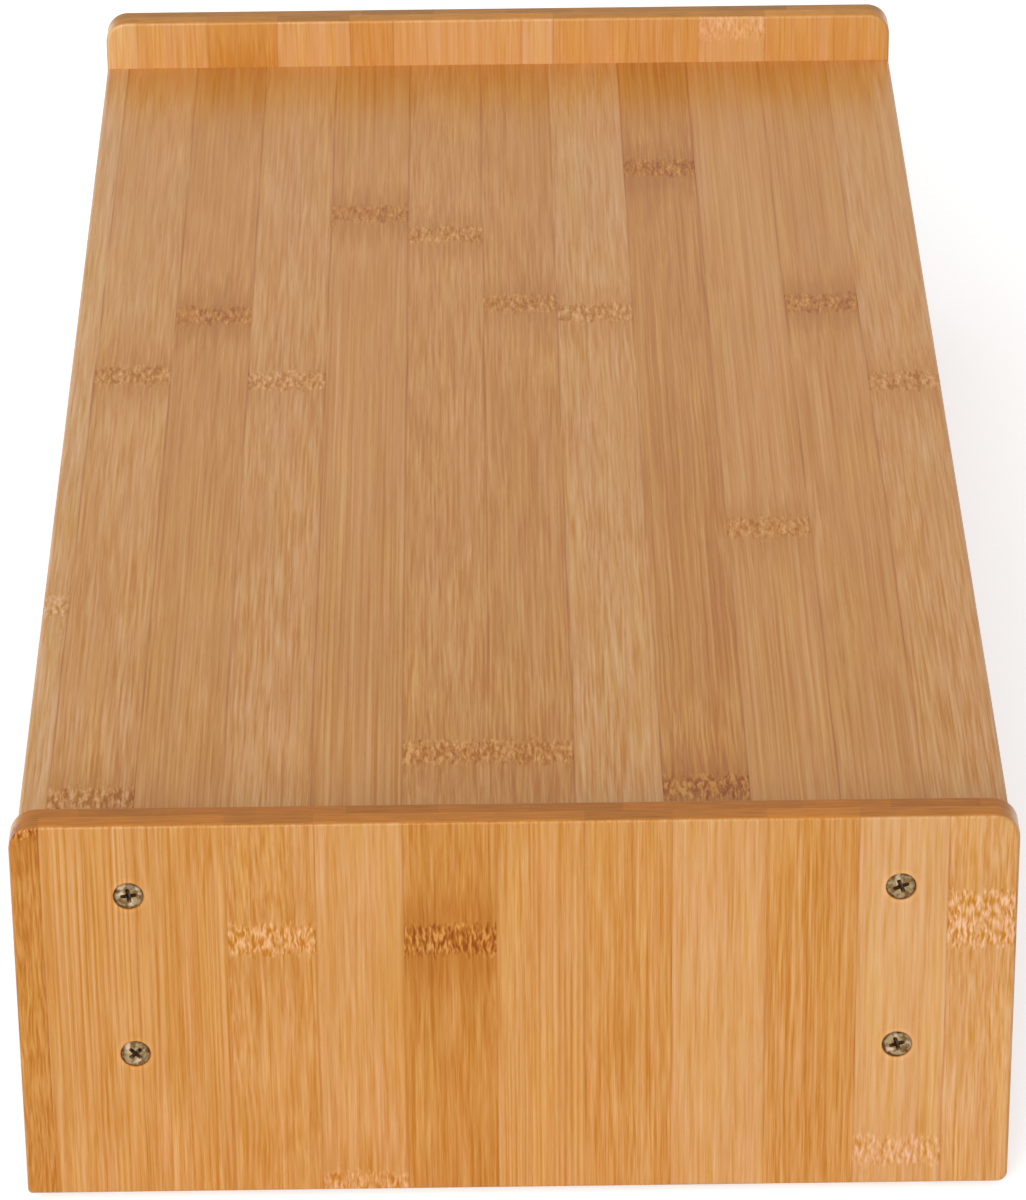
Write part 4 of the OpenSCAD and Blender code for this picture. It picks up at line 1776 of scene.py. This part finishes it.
    def _bottom(self) -> None:
        """Makes the bottom."""
        reach, low = self.groove - SIZES.slack, SIZES.floor + self.rise
        half, corner = self.half - self.wall + reach, self.bottom_corner
        outline = rounded_outline((self.x - half, self.x + half),
                                  (self.inner_y - reach, self.rear_y - self.wall + reach),
                                  (corner, corner), corner)
        solid = eased_slab(outline, (low, low + self.bottom), self.bottom_ease, "xyz")
        finish = PlainWoodFinish(f"bamboo_ply_{self.side}", Lay.BOTTOM, srgb(238, 205, 156),
                                 srgb(214, 170, 114), 7.0, 0.5)
        self._add("bottom", solid, finish)

    def _brads(self) -> None:
        """Makes the brads in both sides."""
        head, wire = self.brad_head / 2, self.brad / 2
        thick, length = self.brad_head_thickness, self.brad_length
        profile = [(0, 0), (head * 0.8, 0), (head * 0.95, -0.05), (head, -0.15), (head, 0.08 - thick),
                   (head * 0.94, -thick), (wire, -thick - 0.02), (wire, 1.6 - length),
                   (wire * 0.5, 0.6 - length), (0, -length)]
        rows = FastenerSet(f"drawer_{self.side}_brads", f"{self.side}_drawer_brads", "bright_steel",
                           self.brads, self.x, self.half, (0, -90, 0), body=f"{self.side}_drawer")
        rows.build(smoothed(Solid().lathe(profile, 20).made("brad_master")),
                   PlatedFinish(f"bright_steel_{self.side}", Plating.BRIGHT_STEEL, self.brads,
                                SIZES.drawer_x + self.half))


@dataclass(frozen=True)
class Studio:
    """Floor, soft light and camera.

    Attributes:
        eye: Place of the camera, in millimetres.
        yaw: Turn of its view to the side, in degrees.
        pitch: Its view's fall, in degrees.
        roll: Its tilt, in degrees.
        focal: Focal length in pixels of the picture's height.
        picture: Height of the picture in pixels.
        sensor: Sensor size in millimetres.
        fill: Light of the surroundings on the riser.
        floor_glow: Light of the floor towards the camera.
    """

    eye: tuple[float, float, float] = (1613.82, -7.84, 939.46)
    yaw: float = -0.3429
    pitch: float = 29.2315
    roll: float = -0.5358
    focal: float = 5914.3
    picture: float = 1200.0
    sensor: float = 36.0
    fill: float = 0.35
    floor_glow: float = 0.56

    def build(self) -> None:
        """Makes the studio."""
        self._camera()
        self._floor()
        self._world()
        self._lamp("key", (17.34, -5.98, 9.0), 2422.0, (12.2, 8.2))
        self._lamp("side", (0.6, -2.6, 1.6), 16.0, (1.8, 1.4))
        self._lamp("back", (-1.8, 1.8, 2.0), 12.0, (1.8, 1.8))
        bpy.context.scene.view_settings.view_transform = "Standard"

    def _camera(self) -> None:
        """Sets the camera where the photograph was taken."""
        yaw, pitch, roll = (math.radians(a) for a in (self.yaw, self.pitch, self.roll))
        flat = math.cos(pitch)
        ahead = Vector((-flat * math.cos(yaw), -flat * math.sin(yaw), -math.sin(pitch)))
        right = ahead.cross(Vector((0, 0, 1))).normalized()
        up = right.cross(ahead)
        turned = right * math.cos(roll) + up * math.sin(roll)
        upright = up * math.cos(roll) - right * math.sin(roll)
        data = bpy.data.cameras.new("camera")
        data.lens = self.focal / self.picture * self.sensor
        data.sensor_width = self.sensor
        data.clip_start = 0.05
        camera = bpy.data.objects.new("camera", data)
        matrix = Matrix((turned, upright, -ahead)).transposed().to_4x4()
        matrix.translation = Vector(self.eye) * METRE
        camera.matrix_world = matrix
        bpy.context.scene.collection.objects.link(camera)
        bpy.context.scene.camera = camera

    @staticmethod
    def _seen(graph: Graph) -> Value:
        """Gives 1 for rays that show the background itself.

        Args:
            graph: The tree that asks.

        Returns:
            The share, 0 or 1.
        """
        path = graph.node("ShaderNodeLightPath").outputs
        camera, glossy, through = (Value(graph, path[f"Is {name} Ray"])
                                   for name in ("Camera", "Glossy", "Transmission"))
        return graph.math("MAXIMUM", graph.math("MAXIMUM", camera, glossy), through)

    def _floor(self) -> None:
        """Makes the pale floor, which keeps the shadow."""
        floor = Solid().box((-4000, -4000, -20), (4000, 4000, 0)).made("floor")
        graph = ShaderGraph("pale_floor")
        glow = graph.mix(self._seen(graph), (0.0, 0.0, 0.0), (1.0, 1.0, 1.0))
        for name, value in {"Base Color": (0.84, 0.84, 0.84, 1.0), "Roughness": 0.9,
                            "Specular IOR Level": 0.0, "Emission Strength": self.floor_glow,
                            "Emission Color": glow}.items():
            graph.feed(graph.shader.inputs[name], value)
        floor.data.materials.append(graph.material)

    def _world(self) -> None:
        """Makes the white surroundings, which light the object less than they show."""
        world = bpy.data.worlds.new("studio")
        world.use_nodes = True
        world.node_tree.nodes.clear()
        graph = Graph(world.node_tree)
        strength = self._seen(graph) * (1 - self.fill) + self.fill
        light = graph.node("ShaderNodeBackground", {}, {"Color": (1, 1, 1, 1), "Strength": strength})
        graph.node("ShaderNodeOutputWorld", {}, {"Surface": light.outputs[0]})
        bpy.context.scene.world = world

    @staticmethod
    def _lamp(name: str, place: tuple[float, float, float], power: float, size: Point) -> None:
        """Hangs a soft lamp that points at the riser.

        Args:
            name: Its name.
            place: Its place in metres.
            power: Its power in watts.
            size: Its width and height in metres.
        """
        data = bpy.data.lights.new(name, "AREA")
        data.shape = "RECTANGLE"
        data.size, data.size_y = size
        data.energy = power
        lamp = bpy.data.objects.new(name, data)
        lamp.location = place
        lamp.rotation_euler = (Vector((0, 0, 0.06)) - Vector(place)).to_track_quat("-Z", "Y").to_euler()
        bpy.context.scene.collection.objects.link(lamp)


def main() -> None:
    """Builds the riser and its studio."""
    logging.basicConfig(level=logging.INFO, format="%(name)s: %(message)s")
    # The left panel's end tints are partly painted light on its top edge: the inner ply lighter, the
    # outer ply greyer.
    left = EndPanel(LEFT, FAR_PANEL, srgb(231, 175, 109), srgb(200, 128, 24),
                    ((0.91, 0.83, 0.66), (0.70, 0.68, 0.70)), (30.0, 74.0, 12.0, 55.0))
    right = EndPanel(RIGHT, NEAR_PANEL, srgb(227, 170, 106), srgb(198, 124, 16),
                     ((0.86, 0.70, 0.46), (0.74, 0.58, 0.38)), (45.0, 17.0, 8.0, 22.0))
    for part in (left, right, Shelves(), Dividers(), FootPads(), Drawer(LEFT), Drawer(RIGHT),
                 Studio()):
        part.build()


if __name__ == "__main__":
    main()
